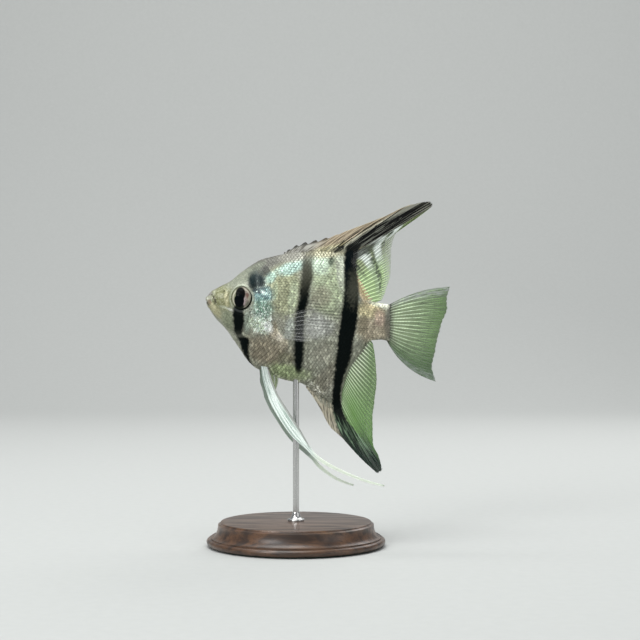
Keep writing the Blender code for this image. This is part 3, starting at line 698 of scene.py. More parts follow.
def markings_group():
    """Colour, bar and shine at a place on the body, shared by skin, scales and fins."""
    tree, start, end = group(
        MARKINGS, [("Place", "NodeSocketVector")],
        [("Color", "NodeSocketColor"), ("Bar", "NodeSocketFloat"), ("Shine", "NodeSocketFloat")])
    where = start.outputs["Place"]
    x, _, z = split(tree, where)
    fine = minus(tree, noise(tree, where, 1.1, 3.0), 0.5)
    broad = minus(tree, noise(tree, where, 0.28, 2.0), 0.5)
    wander = times(tree, scaled(tree, fine, 1.0, broad), 0.6)
    upper = between(tree, z, -16.0, 8.0)

    colour = patch_colours(tree, x, z, wander, broad)
    # Painted shade: the colour darkens towards the belly.
    colour = mix(tree, times(tree, minus(tree, 1.0, upper), 0.25), colour, LOW_SHADE)
    colour = pattern_colours(tree, where, x, z, wander, colour)

    around_eye = oval(tree, x, z, EYE_MIDDLE, (EYE_RADII[0], EYE_RADII[2]))
    pale_ring = times(tree, between(tree, around_eye, 0.98, 1.06),
                      between(tree, around_eye, 1.24, 1.12))
    colour = mix(tree, times(tree, pale_ring, 0.5), colour, EYE_RING_PALE)
    # Painted shadow: a dark ring on the skin round the eye, on its low rear side only.
    ring_shadow = times(tree, between(tree, around_eye, 0.80, 0.86),
                      between(tree, around_eye, 1.05, 0.97))
    low_rear = between(tree, minus(tree, x, z), 11.5, 14.0)
    colour = mix(tree, times(tree, ring_shadow, low_rear), colour, EYE_RING_SHADOW)

    ragged = times(tree, fine, 1.5)
    bars = [bar_mask(tree, x, z, ragged, rows, softness) for rows, softness in BARS]
    dark = bars[0]
    for bar in bars[1:]:
        dark = most(tree, dark, bar)
    colour = mix(tree, dark, colour, bar_colours(tree, x, z, fine))
    low_ring = times(tree, pale_ring, between(tree, z, -1.5, -3.0))
    colour = mix(tree, times(tree, low_ring, 0.22), colour, EYE_RING_GREY)

    dull = times(tree, between(tree, oval(tree, x, z, *DULL_BACK_AREA), 1.3, 0.8), 0.75)
    shine = times(tree, minus(tree, 1.0, most(tree, dark, dull)), scaled(tree, upper, 0.4, 0.6))
    feed_all(tree, end, Color=colour, Bar=dark, Shine=shine)


# ---------------------------------------------------------------- finishes
PIGMENT_LIGHT = (0.62, 0.63, 0.48)
PIGMENT_DARK = (0.085, 0.085, 0.05)
PIGMENT_STRENGTH = 0.60
SCALE_RIM = (0.060, 0.058, 0.040)


def skin_look():
    """Wet skin: markings, a mottle of fine pigment dots and soft pores."""
    made, tree, shader = new_material("fish_skin", Coat_Roughness=0.15, Specular_IOR_Level=0.04)
    where = drawing_place(tree)
    marks = marks_at(tree, where)
    dots = noise(tree, where, 2.1, 5.0, 0.74)
    light = times(tree, between(tree, dots, 0.52, 0.66), PIGMENT_STRENGTH)
    dark = times(tree, between(tree, dots, 0.47, 0.35), PIGMENT_STRENGTH)
    shade = mix(tree, light, marks["Color"], PIGMENT_LIGHT)
    shade = mix(tree, dark, shade, PIGMENT_DARK)
    gloss = times(tree, marks["Shine"], 0.3)
    feed_all(tree, shader, Base_Color=mix(tree, marks["Bar"], shade, marks["Color"]),
             Metallic=gloss, Coat_Weight=gloss, Roughness=scaled(tree, dots, 0.3, 0.24))
    pores = node(tree, "ShaderNodeTexVoronoi", feature="SMOOTH_F1")
    feed_all(tree, pores, Vector=where, Scale=1.6)
    bump(tree, shader, scaled(tree, dots, 0.6, pores.outputs["Distance"]), 0.55, 0.0002)
    return made


def strokes(tree, where, tilt, length, width):
    """A noise drawn out into short strokes that rise at tilt degrees; sizes in millimetres."""
    made = node(tree, "ShaderNodeMapping", vector_type="TEXTURE")
    feed_all(tree, made, Vector=where, Rotation=(0.0, math.radians(-tilt), 0.0),
             Scale=(length, 1.0, width))
    return noise(tree, made.outputs["Vector"], 1.0, 3.0, 0.65)


def stroke_grain(tree, where):
    """Level strokes on the upper flank that turn steep below."""
    _, _, z = split(tree, where)
    level = strokes(tree, where, 0.0, 0.75, 0.32)
    steep = strokes(tree, where, 52.0, 1.5, 0.48)
    low = between(tree, z, -11.0, -16.0)
    return plus(tree, level, times(tree, minus(tree, steep, level), low))


def scale_look():
    """Silvery scales: each one has its own tint, a painted highlight down its middle, a painted
    glint on some, and a darker rim.
    """
    made, tree, shader = new_material("fish_scales", Coat_Roughness=0.12, Specular_IOR_Level=0.04)
    where = drawing_place(tree)
    marks = marks_at(tree, where)
    along, across, chance = split(tree, piece_layer(tree, "scale"))
    grain = stroke_grain(tree, where)
    rim = between(tree, along, 0.84, 0.99)
    # Painted highlight: a bright band down each scale's middle.
    middle_highlight = between(tree, maths(tree, "ABSOLUTE", across), 0.70, 0.12)
    ridges = maths(tree, "SINE", scaled(tree, across, 9.4, 1.6))
    tint = scaled(tree, chance, 0.70, 0.52)
    tint = scaled(tree, middle_highlight, 0.28, tint)
    tint = scaled(tree, ridges, 0.14, tint)
    tint = scaled(tree, minus(tree, grain, 0.5), 2.2, tint)
    calm = scaled(tree, marks["Shine"], 0.7, 0.3)
    tint = scaled(tree, minus(tree, tint, 1.0), calm, 1.0)
    # Painted glints: some scales are made brighter away from the rim.
    glint = times(tree, between(tree, chance, 0.70, 0.95), minus(tree, 1.0, rim))
    lit = gained(tree, gained(tree, marks["Color"], tint), scaled(tree, glint, 0.35, 1.0))
    shade = mix(tree, times(tree, rim, 0.20), lit, SCALE_RIM)
    in_bar = gained(tree, marks["Color"], times(tree, tint, 0.9))
    rough = scaled(tree, rim, 0.2, scaled(tree, chance, 0.1, 0.30))
    feed_all(tree, shader, Base_Color=mix(tree, marks["Bar"], shade, in_bar),
             Metallic=times(tree, marks["Shine"], 0.40),
             Coat_Weight=times(tree, marks["Shine"], 0.25), Roughness=rough)
    bump(tree, shader, scaled(tree, grain, 0.6, ridges), 0.15, 0.00005)
    return made


def fin_look(name, paint, clear=None):
    """A fin finish. paint(tree, u, v, where) gives colour; clear gives how solid each wall is."""
    made, tree, shader = new_material(name, 0.38, Specular_IOR_Level=0.10)
    u, v, _ = split(tree, piece_layer(tree, "fin"))
    where = drawing_place(tree)
    feed_all(tree, shader, Base_Color=paint(tree, u, v, where))
    if clear:
        feed_all(tree, shader, Alpha=clear(tree, u, v, where))
    bump(tree, shader, noise(tree, where, 3.0, 3.0), 0.25, 0.0001)
    return made


def stretched(tree, turn, scale):
    """Object places turned and scaled for a long grain; scale is per metre."""
    made = node(tree, "ShaderNodeMapping")
    feed_all(tree, made, Vector=object_place(tree), Rotation=(0.0, 0.0, turn), Scale=scale)
    return made.outputs["Vector"]


WALNUT = ((0.026, 0.012, 0.006), (0.115, 0.055, 0.026))
WALNUT_PORE = (0.012, 0.006, 0.004)
WALNUT_TURN = 0.12
STEEL = ((0.55, 0.55, 0.545), (0.63, 0.625, 0.61))
FELT_GREEN = ((0.008, 0.014, 0.010), (0.03, 0.05, 0.04))
PAPER = ((0.47, 0.48, 0.465), (0.51, 0.52, 0.505))


def wood_look():
    """Dark turned walnut with long grain and a satin lacquer."""
    made, tree, shader = new_material("walnut", Coat_Weight=0.3, Coat_Roughness=0.25)
    rings = noise(tree, stretched(tree, WALNUT_TURN, (60.0, 420.0, 420.0)), 1.0, 5.0, 0.6, 0.4)
    pores = noise(tree, stretched(tree, WALNUT_TURN, (300.0, 2600.0, 2600.0)), 1.0, 3.0, 0.7)
    figure = between(tree, rings, 0.32, 0.68)
    shade = mix(tree, between(tree, pores, 0.56, 0.70), mix(tree, figure, *WALNUT), WALNUT_PORE)
    feed_all(tree, shader, Base_Color=shade, Roughness=scaled(tree, figure, -0.12, 0.46))
    bump(tree, shader, pores, 0.15, 0.0001)
    return made


def steel_look():
    """Fine brushed steel."""
    made, tree, shader = new_material("brushed_steel", 0.28, 1.0)
    hair = noise(tree, stretched(tree, 0.0, (900.0, 900.0, 9000.0)), 1.0, 3.0, 0.6)
    feed_all(tree, shader, Base_Color=mix(tree, hair, *STEEL),
             Roughness=scaled(tree, hair, 0.08, 0.22))
    bump(tree, shader, hair, 0.04, 0.00001)
    return made


def felt_look():
    """Dark green felt under the base."""
    made, tree, shader = new_material("felt", 0.95, Sheen_Weight=0.5)
    fuzz = noise(tree, object_place(tree), 2500.0, 3.0, 0.7)
    feed_all(tree, shader, Base_Color=mix(tree, fuzz, *FELT_GREEN))
    bump(tree, shader, fuzz, 0.6, 0.0003)
    return made


def paper_look():
    """Matt studio paper."""
    made, tree, shader = new_material("stage_paper", 0.9)
    fibre = noise(tree, object_place(tree), 300.0, 3.0)
    feed_all(tree, shader, Base_Color=mix(tree, fibre, *PAPER))
    return made


# ---------------------------------------------------------------- skin
def ring_spacing():
    """Where the skin's rings lie, closer on the head."""
    xs = np.linspace(0.0, LENGTH, 2400)
    density = 1.0 + 1.6 * step(24.0, 14.0, xs) + 3.0 * step(6.0, 2.0, xs)
    rise = 0.5 * np.abs(np.diff(back(xs))) + 0.5 * np.abs(np.diff(belly(xs)))
    run = np.concatenate(([0.0], np.cumsum((np.diff(xs) + rise) * density[1:])))
    return lambda share: np.interp(share, run / run[-1], xs)


STEPS_PER_POINT = 6


def near_line(x, z, points):
    """Distance to a smooth line through points, signed side of it, and share along it."""
    line = blended(points)
    t = np.linspace(0.0, 1.0, (len(points) - 1) * STEPS_PER_POINT + 1)
    px, pz = line(t)
    best = np.full(np.shape(x), 1e9)
    side = np.zeros(np.shape(x))
    share = np.zeros(np.shape(x))
    for i in range(len(t) - 1):
        ax, az = px[i], pz[i]
        rx, rz = px[i + 1] - ax, pz[i + 1] - az
        s = np.clip(((x - ax) * rx + (z - az) * rz) / (rx * rx + rz * rz), 0.0, 1.0)
        dx, dz = x - (ax + s * rx), z - (az + s * rz)
        away = np.hypot(dx, dz)
        closer = away < best
        best = np.where(closer, away, best)
        side = np.where(closer, np.sign(rx * dz - rz * dx), side)
        share = np.where(closer, (i + s) / (len(t) - 1), share)
    return best, side, share


def ridge(away, width, height):
    """A rounded ridge along a line, by the distance from it."""
    return height * np.exp(-(away / width) ** 2)


MOUTH_LINE = ((-0.2, 0.15), (0.35, -0.55), (0.9, -1.3), (1.35, -1.9))
UPPER_LIP = ((0.35, 0.75), (0.75, 0.1), (1.25, -0.75), (1.6, -1.5))
LOWER_LIP = ((0.0, -0.7), (0.45, -1.25), (0.9, -1.9), (1.3, -2.35))
MAXILLA = ((2.5, 2.7), (2.9, 1.6), (3.1, 0.5), (2.9, -0.6), (2.3, -1.7))
JAW_CREASE = ((1.9, -2.2), (3.2, -3.4), (4.8, -4.9), (6.4, -6.4), (7.6, -8.2))
PREOPERCLE = (
    (14.6, 1.2), (14.75, -1.0), (14.5, -3.3), (14.1, -6.0), (13.2, -8.6), (11.6, -10.6),
    (9.6, -11.4),
)
PREOPERCLE_INNER = ((12.9, -3.8), (12.6, -5.8), (11.8, -7.8), (10.2, -9.2), (8.4, -9.4))
SUBOPERCLE = ((21.4, -4.4), (19.4, -6.2), (17.4, -8.0), (15.6, -9.6))
LACHRYMAL = ((8.3, 2.2), (7.2, 0.4), (6.6, -1.6), (7.4, -3.4))
# Narrow folds: line, width, height (a crease is below 0), and between which shares of the line
# the fold rises and falls away, where it does.
FOLDS = (
    (PREOPERCLE_INNER, 0.40, -0.07, (0.0, 0.2), (1.0, 0.8)),
    (SUBOPERCLE, 0.28, -0.08, None, (1.0, 0.85)),
    (LACHRYMAL, 0.35, -0.07, (0.0, 0.15), (1.0, 0.85)),
    (UPPER_LIP, 0.42, 0.26, None, (1.05, 0.9)),
    (LOWER_LIP, 0.38, 0.22, None, None),
    (MOUTH_LINE, 0.14, -0.34, None, None),
    (MAXILLA, 0.45, 0.12, None, None),
    (JAW_CREASE, 0.28, -0.13, None, (1.0, 0.7)),
)
ORBIT_INSET = 0.15
ORBIT_DEPTH = 1.7
NOSTRIL = (6.2, 2.7)
NOSTRIL_RADIUS = 0.45


def fade(span, share):
    return step(*span, share) if span else 1.0


def head_relief(x, z):
    """How far the head's skin stands out or in, millimetres, at places of the side view."""
    out = np.zeros(np.shape(x))
    rx, rz = EYE_RADII[0] - ORBIT_INSET, EYE_RADII[2] - ORBIT_INSET
    round_eye = np.hypot((x - EYE_MIDDLE[0]) / rx, (z - EYE_MIDDLE[1]) / rz)
    out -= ORBIT_DEPTH * step(1.0, 0.86, round_eye)
    out += ridge(round_eye - 1.09, 0.075, 0.22)
    out -= ridge(round_eye - 1.30, 0.09, 0.13)

    away, side, share = near_line(x, z, HEAD_EDGE)
    cover = np.where(side < 0, ridge(away, 1.6, 0.24), -ridge(away, 0.45, 0.20))
    out += step(0.04, 0.16, share) * cover
    away, side, share = near_line(x, z, PREOPERCLE)
    ends = step(0.0, 0.12, share) * step(1.0, 0.9, share)
    out += ends * np.where(side > 0, -ridge(away, 0.35, 0.16), ridge(away, 0.6, 0.10))
    for line, width, height, start, end in FOLDS:
        away, _, share = near_line(x, z, line)
        out += ridge(away, width, height) * fade(start, share) * fade(end, share)
    away, side, share = near_line(x, z, MAXILLA)
    out -= ridge(away - 0.65, 0.25, 0.10) * (side > 0) * step(0.0, 0.1, share)

    from_nostril = np.hypot(x - NOSTRIL[0], z - NOSTRIL[1])
    out += ridge(from_nostril - NOSTRIL_RADIUS, 0.16, 0.10)
    out -= 0.35 * step(0.40, 0.15, from_nostril)
    return out


def build_skin(look):
    """One closed skin over head, gill covers, trunk and tail stalk."""
    points, faces = ball(216, 330)
    share, cosine, sine = points.T
    x = ring_spacing()(share)
    turn = np.arctan2(sine, cosine)
    _, outer_z = section(x, turn)
    depth = skin_depth(x, outer_z)
    y, z = section(x, turn, depth)
    pole = (cosine == 0.0) & (sine == 0.0)
    y = np.where(pole, 0.0, y)
    z = np.where(pole, level_at(x), z)
    x = x + np.where(pole & (share < 0.5), HEAD_DEPTH, 0.0)
    flat = place(x, y, z)
    mesh = copies("fish_skin", faces, flat[None])
    turn_outward(mesh)
    normals = np.empty(len(flat) * 3, dtype=np.float32)
    mesh.vertex_normals.foreach_get("vector", normals)
    relief = np.where(x < HEAD_END, head_relief(x, z), 0.0)
    moved = flat + normals.reshape(-1, 3) * (relief * MM)[:, None]
    mesh.vertices.foreach_set("co", moved.astype(np.float32).ravel())
    mesh.update()
    nodes = ("head", "lower_jaw", "gill_cover_left", "gill_cover_right", "trunk", "tail_stalk")
    return finish_piece("fish_skin", mesh, look, "flank_skin", nodes)


# ---------------------------------------------------------------- scales
SCALE_PITCH = 1.08               # from scale to scale along a row
SCALE_HEIGHT = 1.75              # a scale is taller than the part of it that shows is long
SCALE_TILT = 0.08                # how far a scale's free edge stands up
SCALE_ROOT = 0.02
SCALE_START = 12.2
GILL_SCALE = 0.60
CHEEK_SCALE = 0.44
BAKE_PATCH = 0.003
preopercle_x = smooth_line([(z, x) for x, z in reversed(PREOPERCLE)])


def scale_template():
    """One scale: a rounded plate closed below. Columns: along 0..1, across -1..1, top or foot."""
    bm = bmesh.new()
    bmesh.ops.create_grid(bm, x_segments=3, y_segments=6, size=0.5)
    rim = [edge for edge in bm.edges if edge.is_boundary]
    grown = bmesh.ops.extrude_edge_only(bm, edges=rim)["geom"]
    foot = [item for item in grown if isinstance(item, bmesh.types.BMVert)]
    bmesh.ops.translate(bm, verts=foot, vec=(0.0, 0.0, -1.0))
    open_edges = [edge for edge in bm.edges if edge.is_boundary]
    bmesh.ops.holes_fill(bm, edges=open_edges, sides=0)
    outward(bm)
    points, faces = bm_arrays(bm)
    points[:, 0] += 0.5
    points[:, 1] *= 2.0
    return points, faces


def scale_outline(points, size):
    """How far each point of a scale lies behind, beside and above its middle."""
    along, across, foot = points.T
    rounding = 0.44 * across * across * (0.25 + 0.75 * along)
    behind = size * SCALE_PITCH * (1.12 * along - rounding - 0.58)
    beside = 0.58 * size * SCALE_HEIGHT * across * (0.72 + 0.28 * np.sin(along * math.pi * 0.85))
    above = SCALE_ROOT + size * (SCALE_TILT * along ** 1.3 + 0.03 * (1 - across * across))
    return behind, beside, np.where(foot < -0.5, -0.10, above)


def body_scales(name, spots, sign, look, slot, nodes):
    """One mesh of scales on a flank. spots are rows of x, turn, size and chance."""
    points, faces = scale_template()
    x, turn, size, chance = (column[:, None] for column in np.array(spots).T)
    behind, beside, above = scale_outline(points, size)
    level = level_at(x)
    tall = np.where(turn > 0, back(x) - level, level - belly(x))
    bend = keel(x)
    side = np.maximum(np.cos(turn), 0.02)
    rise = tall * np.cos(turn)
    run = half_width(x) * bend * side ** (bend - 1) * np.sin(turn)
    there = x + behind
    turned = turn + beside / np.maximum(np.hypot(rise, run), 0.5)
    _, outer_z = section(there, turned)
    relief = head_relief(there, outer_z) if x.max() < HEAD_END else 0.0
    y, z = section(there, turned, skin_depth(there, outer_z) - above - relief)
    along, across, _ = points.T
    values = np.stack(np.broadcast_arrays(along, across, chance), axis=-1)
    bake = np.stack((0.03 + 0.94 * x / (LENGTH + 1.0) + BAKE_PATCH * (along - 0.5),
                     0.5 + 0.94 * turn / math.pi + BAKE_PATCH * across / 2), axis=-1)
    if sign > 0:
        faces = [tuple(reversed(face)) for face in faces]
    mesh = copies(name, faces, place(there, sign * y, z), "scale", values, bake)
    return finish_piece(name, mesh, look, slot, nodes)


def lattice(start, end, size_at, keep, contrast, chooser):
    """Alternating columns of scales: (x, turn, size, chance) where keep(x, z) says so."""
    spots = []
    x = start
    column = 0
    while x < end:
        size = float(size_at(x))
        level = float(level_at(x))
        pitch = size * SCALE_HEIGHT
        for up in (1, -1):
            tall = float(back(x) - level if up > 0 else level - belly(x))
            turns = np.linspace(0.0, math.pi / 2, 300)
            y = float(half_width(x)) * np.cos(turns) ** float(keel(x))
            arc = run_along(y, tall * np.sin(turns))
            first = 0.5 if column % 2 else (0.0 if up > 0 else 1.0)
            for run in np.arange(first * pitch, arc[-1] - 0.25 * pitch, pitch):
                turn = float(np.interp(run, arc, turns)) * up
                z = level + tall * math.sin(turn * up) * up
                luck = chooser.random() - 0.5
                if keep(x, z):
                    wobble = chooser.uniform(-0.05, 0.05) * size
                    grown = size * chooser.uniform(0.95, 1.05)
                    spots.append((x + wobble, turn, grown, 0.5 + luck * contrast(x, z)))
        x += 0.5 * size * SCALE_PITCH
        column += 1
    return spots


def clear_of_eye(x, z, margin):
    across, up = (x - EYE_MIDDLE[0]) / EYE_RADII[0], (z - EYE_MIDDLE[1]) / EYE_RADII[2]
    return math.hypot(across, up) > margin


def on_trunk(x, z):
    """Behind the gill cover, and from the nape back."""
    nape = z > 5.5 and x > 13.2 + 0.4 * max(0.0, 11.0 - z) and clear_of_eye(x, z, 1.35)
    return x > head_edge(z) + 0.35 or nape


def on_gill_cover(x, z):
    inside = preopercle_x(z) + 0.25 < x < head_edge(z) - 0.35
    return inside and -11.0 < z < 5.2 and clear_of_eye(x, z, 1.30)


def on_cheek(x, z):
    inside = 6.6 < x < preopercle_x(z) - 0.25
    return inside and belly(x) + 1.6 < z < -2.8 and clear_of_eye(x, z, 1.30)


def flank_size(x):
    return 0.70 + 0.30 * step(12.0, 27.0, x) - 0.20 * step(47.0, 58.0, x)


def flank_contrast(x, z):
    """How much scales differ from each other: less on the upper flank."""
    return 1.0 - 0.35 * step(-8.0, 4.0, z)


# Name, x from and to, size, where, how much they differ, slot, and the nodes they lie on.
SCALE_COATS = (
    ("scales", SCALE_START, LENGTH - 0.2, flank_size, on_trunk, flank_contrast,
     "flank_skin", "trunk"),
    ("gill_scales", 12.6, 22.4, lambda x: GILL_SCALE, on_gill_cover, lambda x, z: 1.0,
     "gill_skin", "gill_cover"),
    ("cheek_scales", 6.6, 14.6, lambda x: CHEEK_SCALE, on_cheek, lambda x, z: 0.6,
     "head_skin", "head"),
)


def build_scales(look):
    """Coats of overlapping scales: large on the flanks, small on the gill covers and cheeks."""
    chooser = random.Random(SEED)
    for name, start, end, size_at, keep, contrast, slot, stem in SCALE_COATS:
        for side, sign in SIDES:
            spots = lattice(start, end, size_at, keep, contrast, chooser)
            stands_for = stem + "_" + side if stem == "gill_cover" else stem
            body_scales(name + "_" + side, spots, sign, look, slot, (stands_for,))


# ---------------------------------------------------------------- fins
def fin_surface(keys, lean):
    """A function from (u, v) on a fin to its middle sheet; lean(u, v) is its place across."""
    ray = blended(keys)

    def at(u, v):
        base_x, base_z, tip_x, tip_z, bow = ray(np.clip(u, 0.0, 1.0))
        run_x = tip_x - base_x
        run_z = tip_z - base_z
        bulge = 4 * bow * v * (1 - v) / np.maximum(np.hypot(run_x, run_z), 0.01)
        return base_x + run_x * v - run_z * bulge, lean(u, v), base_z + run_z * v + run_x * bulge

    return at


def even_rays(at, first, last, count, v=0.3):
    """u places of rays that stand evenly apart across the fin at v."""
    u = np.linspace(first, last, 200)
    x, _, z = at(u, np.full(200, v))
    run = run_along(x, z)
    return list(np.interp((np.arange(count) + 0.5) / count * run[-1], run, u))


WEB_FOOT = 0.55
WEB_EDGE = 0.13
FOOT_SHARE = 0.12


def web_wall(v):
    return WEB_FOOT + (WEB_EDGE - WEB_FOOT) * step(0.0, FOOT_SHARE, v)


def build_web(name, at, rays, ends, notch, look, slot, nodes):
    """The thin skin between the rays; notch(u) is the depth of the dip between each two."""
    gaps = len(rays) + 1
    points, faces = slab(6 * gaps, 40)
    share, height, face = points.T
    stops = np.arange(gaps + 1)
    u = np.interp(share * gaps, stops, [0.0, *rays, 1.0])
    end = np.interp(share * gaps, stops, [ends[0], *ends, ends[-1]])
    dip = np.sin(math.pi * share * gaps) ** 2
    v = height * (end - notch(u) * dip)
    x, y, z = at(u, v)
    wall = web_wall(v) * (1 - 0.3 * dip)
    values = np.stack((u, v, np.zeros(len(u))), axis=-1)
    mesh = copies(name, faces, place(x, y + face * wall / 2, z)[None], "fin", values)
    turn_outward(mesh)
    finish_piece(name, mesh, look, slot, nodes)


RAY_SHARE = 0.52                  # of the room between two rays
RAY_DEPTH = 0.85                  # of its width
JAG = 0.014                       # how far a ray's end may fall short of the margin


def ray_shape(at, points, path, start, end, thick, thin, gap=None):
    """A ray or branch from v start to end. path(t) is its u at t in 0..1; gap is to the next."""
    t, cosine, sine = points.T
    v = start + (end - start) * t
    u = path(t)
    x, y, z = at(u, v)
    x2, _, z2 = at(path(t + 0.02), v + 0.02 * (end - start))
    run_x, run_z = x2 - x, z2 - z
    size = np.maximum(np.hypot(run_x, run_z), 1e-6)
    wide = thick + (thin - thick) * t
    if gap:
        xa, _, za = at(u - gap / 2, v)
        xb, _, zb = at(u + gap / 2, v)
        room = np.abs((xb - xa) * run_z - (zb - za) * run_x) / size
        wide = np.minimum(wide, RAY_SHARE * room)
    radius = 0.5 * wide * np.sqrt(np.clip(1 - (2 * t - 1) ** 24, 0.0, 1.0))
    off = cosine * radius
    places = place(x - run_z / size * off, y + sine * radius * RAY_DEPTH, z + run_x / size * off)
    return places, np.stack((u, v, np.ones(len(u))), axis=-1)


def soft_ray(at, points, u, gap, end, thick, forks):
    """A soft ray that forks twice towards the margin."""
    first, second = forks
    parts = [ray_shape(at, points, lambda t: u + 0 * t, 0.0, first + 0.02, thick, thick * 0.8, gap)]
    for side in (-1, 1):
        spread = 0.23 * gap * side
        parts.append(ray_shape(at, points, lambda t: u + spread * step(0.0, 1.0, t),
                               first - 0.01, second + 0.02, thick * 0.62, thick * 0.46))
        for twig in (-1, 1):
            fan = 0.115 * gap * twig
            parts.append(ray_shape(at, points, lambda t: u + spread + fan * step(0.0, 1.0, t),
                                   second - 0.01, end, thick * 0.40, thick * 0.22))
    return parts


def build_rays(name, parts, faces, look, slot, nodes):
    """One mesh of a fin's rays and branches."""
    places, values = (np.array(column) for column in zip(*parts))
    finish_piece(name, copies(name, faces, places, "fin", values), look, slot, nodes)


def build_fin(name, at, spines, rays, thickness, forks, looks, notch=lambda u: 0.010):
    """A fin's web and its rays: spines and soft rays are lists of u places, front to back."""
    chooser = random.Random(name)
    places = list(spines) + list(rays)
    gaps = np.gradient(np.array(places))
    ends = [1.0 - JAG * chooser.random() for _ in places]
    spine_thick, ray_thick = thickness
    web_look, ray_look = looks
    points, faces = ball(6, 18)
    parts = []
    for i, (u, gap, end) in enumerate(zip(places, gaps, ends)):
        if i < len(spines):
            parts.append(ray_shape(at, points, lambda t: u + 0 * t, 0.0, end,
                                   spine_thick, spine_thick * 0.4, gap))
        else:
            parts += soft_ray(at, points, u, gap, end, ray_thick, forks)
    web_ends = [end - 0.008 for end in ends]
    build_web(name + "_web", at, places, web_ends, notch, web_look, "fin", (name,))
    build_rays(name + "_rays", parts, faces, ray_look, "fin", (name,))


def fin_scales(name, node_name, at, first, last, reach, size, look):
    """Small scales over a fin's foot, on both faces. reach(u) is how far they go, millimetres."""
    chooser = random.Random(name)
    u_line = np.linspace(first, last, 300)
    x, _, z = at(u_line, np.full(300, 0.05))
    run = run_along(x, z)
    spots = []
    row = 0
    far = 0.0
    while far < reach(u_line).max():
        pitch = size * SCALE_HEIGHT
        for along in np.arange((row % 2) * 0.5 * pitch, run[-1], pitch):
            u = float(np.interp(along, run, u_line))
            if far < reach(u):
                grown = size * chooser.uniform(0.92, 1.0) * (1 - 0.35 * far / reach(u))
                spots.append((u, far, grown, 0.5 + 0.4 * (chooser.random() - 0.5)))
        far += 0.5 * size * SCALE_PITCH
        row += 1
    points, faces = scale_template()
    u, far, grown, chance = (column[:, None] for column in np.array(spots).T)
    behind, beside, above = scale_outline(points, grown)
    x0, _, z0 = at(u, 0 * u)
    x1, _, z1 = at(u, 0 * u + 1.0)
    length = np.hypot(x1 - x0, z1 - z0)
    xa, _, za = at(u - 0.004, far / length)
    xb, _, zb = at(u + 0.004, far / length)
    width = np.maximum(np.hypot(xb - xa, zb - za) / 0.008, 1.0)
    v = (far + behind + 0.45 * grown) / length
    x, y, z = at(u + beside / width, v)
    along, across, _ = points.T
    values = np.stack(np.broadcast_arrays(along, across, chance), axis=-1)
    out = web_wall(v) / 2 + above * 0.7
    bake = np.stack((0.05 + 0.9 * u + BAKE_PATCH * (along - 0.5),
                     0.1 + 0.3 * v + BAKE_PATCH * across / 2), axis=-1)
    places = np.concatenate([place(x, y + out, z), place(x, y - out, z)])
    mesh = copies(name, faces, places, "scale", np.concatenate([values, values]),
                  np.concatenate([bake, bake + (0.0, 0.5)]))
    turn_outward(mesh)
    finish_piece(name, mesh, look, "flank_skin", (node_name,))


def streaks(tree, u, v, along_u, along_v):
    """A noise drawn out along a fin's rays."""
    made = node(tree, "ShaderNodeCombineXYZ")
    feed_all(tree, made, X=times(tree, u, along_u), Y=times(tree, v, along_v))
    return noise(tree, made.outputs[0], 1.0, 2.0)


JOINTS_PER_RAY = 130.0            # in radians
JOINT_COLOUR = (0.16, 0.20, 0.12)


def joints(tree, v, colour):
    """Soft rays are jointed: a darker ring at each joint."""
    wave = maths(tree, "SINE", times(tree, v, JOINTS_PER_RAY))
    return mix(tree, between(tree, wave, 0.3, 1.0, 0.0, 0.30), colour, JOINT_COLOUR)


def pulse(tree, value, middle, half):
    """1 at the middle, falling to 0 at half on either side."""
    return between(tree, apart(tree, value, middle), half, half * 0.4)


def dash_place(tree, u, v):
    """How far v lies beyond the dashed band of the soft dorsal fin."""
    return minus(tree, v, scaled(tree, u, 1.30, -0.505))


def band_front(tree, u, v):
    """How far u lies behind the front edge of the dorsal fin's dark band."""
    edge = scaled(tree, times(tree, v, v), 0.19, scaled(tree, v, -0.10, 0.315))
    return minus(tree, u, edge)


def band_rear(tree, u, v):
    """How far u lies before the rear edge of the dorsal fin's dark band."""
    edge = scaled(tree, times(tree, v, v), -0.10, scaled(tree, v, 0.20, 0.455))
    return minus(tree, edge, u)


# Columns of the soft dorsal fin: middle, half width, and the u where each ends and is full.
WHITE_COLUMNS = ((-0.045, 0.115, 1.00, 0.90), (0.19, 0.12, 0.84, 0.76), (0.38, 0.10, 0.72, 0.66))
DARK_COLUMNS = ((-0.27, 0.05, 0.84, 0.78), (0.05, 0.09, 0.95, 0.88), (0.30, 0.07, 0.78, 0.70))
# Pairs of colours: on the web and on the rays.
COLUMN_WHITE = ((0.54, 0.61, 0.54), (0.90, 0.95, 0.90))
COLUMN_WHITE_LOW = ((0.30, 0.41, 0.21), (0.62, 0.76, 0.50))
DORSAL_VEIL = ((0.19, 0.23, 0.12), (0.38, 0.44, 0.25))
DORSAL_VEIL_LOW = ((0.34, 0.47, 0.22), (0.68, 0.86, 0.48))
DORSAL_REAR = (0.17, 0.265, 0.06)
COLUMN_DARK = (0.055, 0.080, 0.045)
DORSAL_SOFT_ROOT = (0.045, 0.050, 0.038)


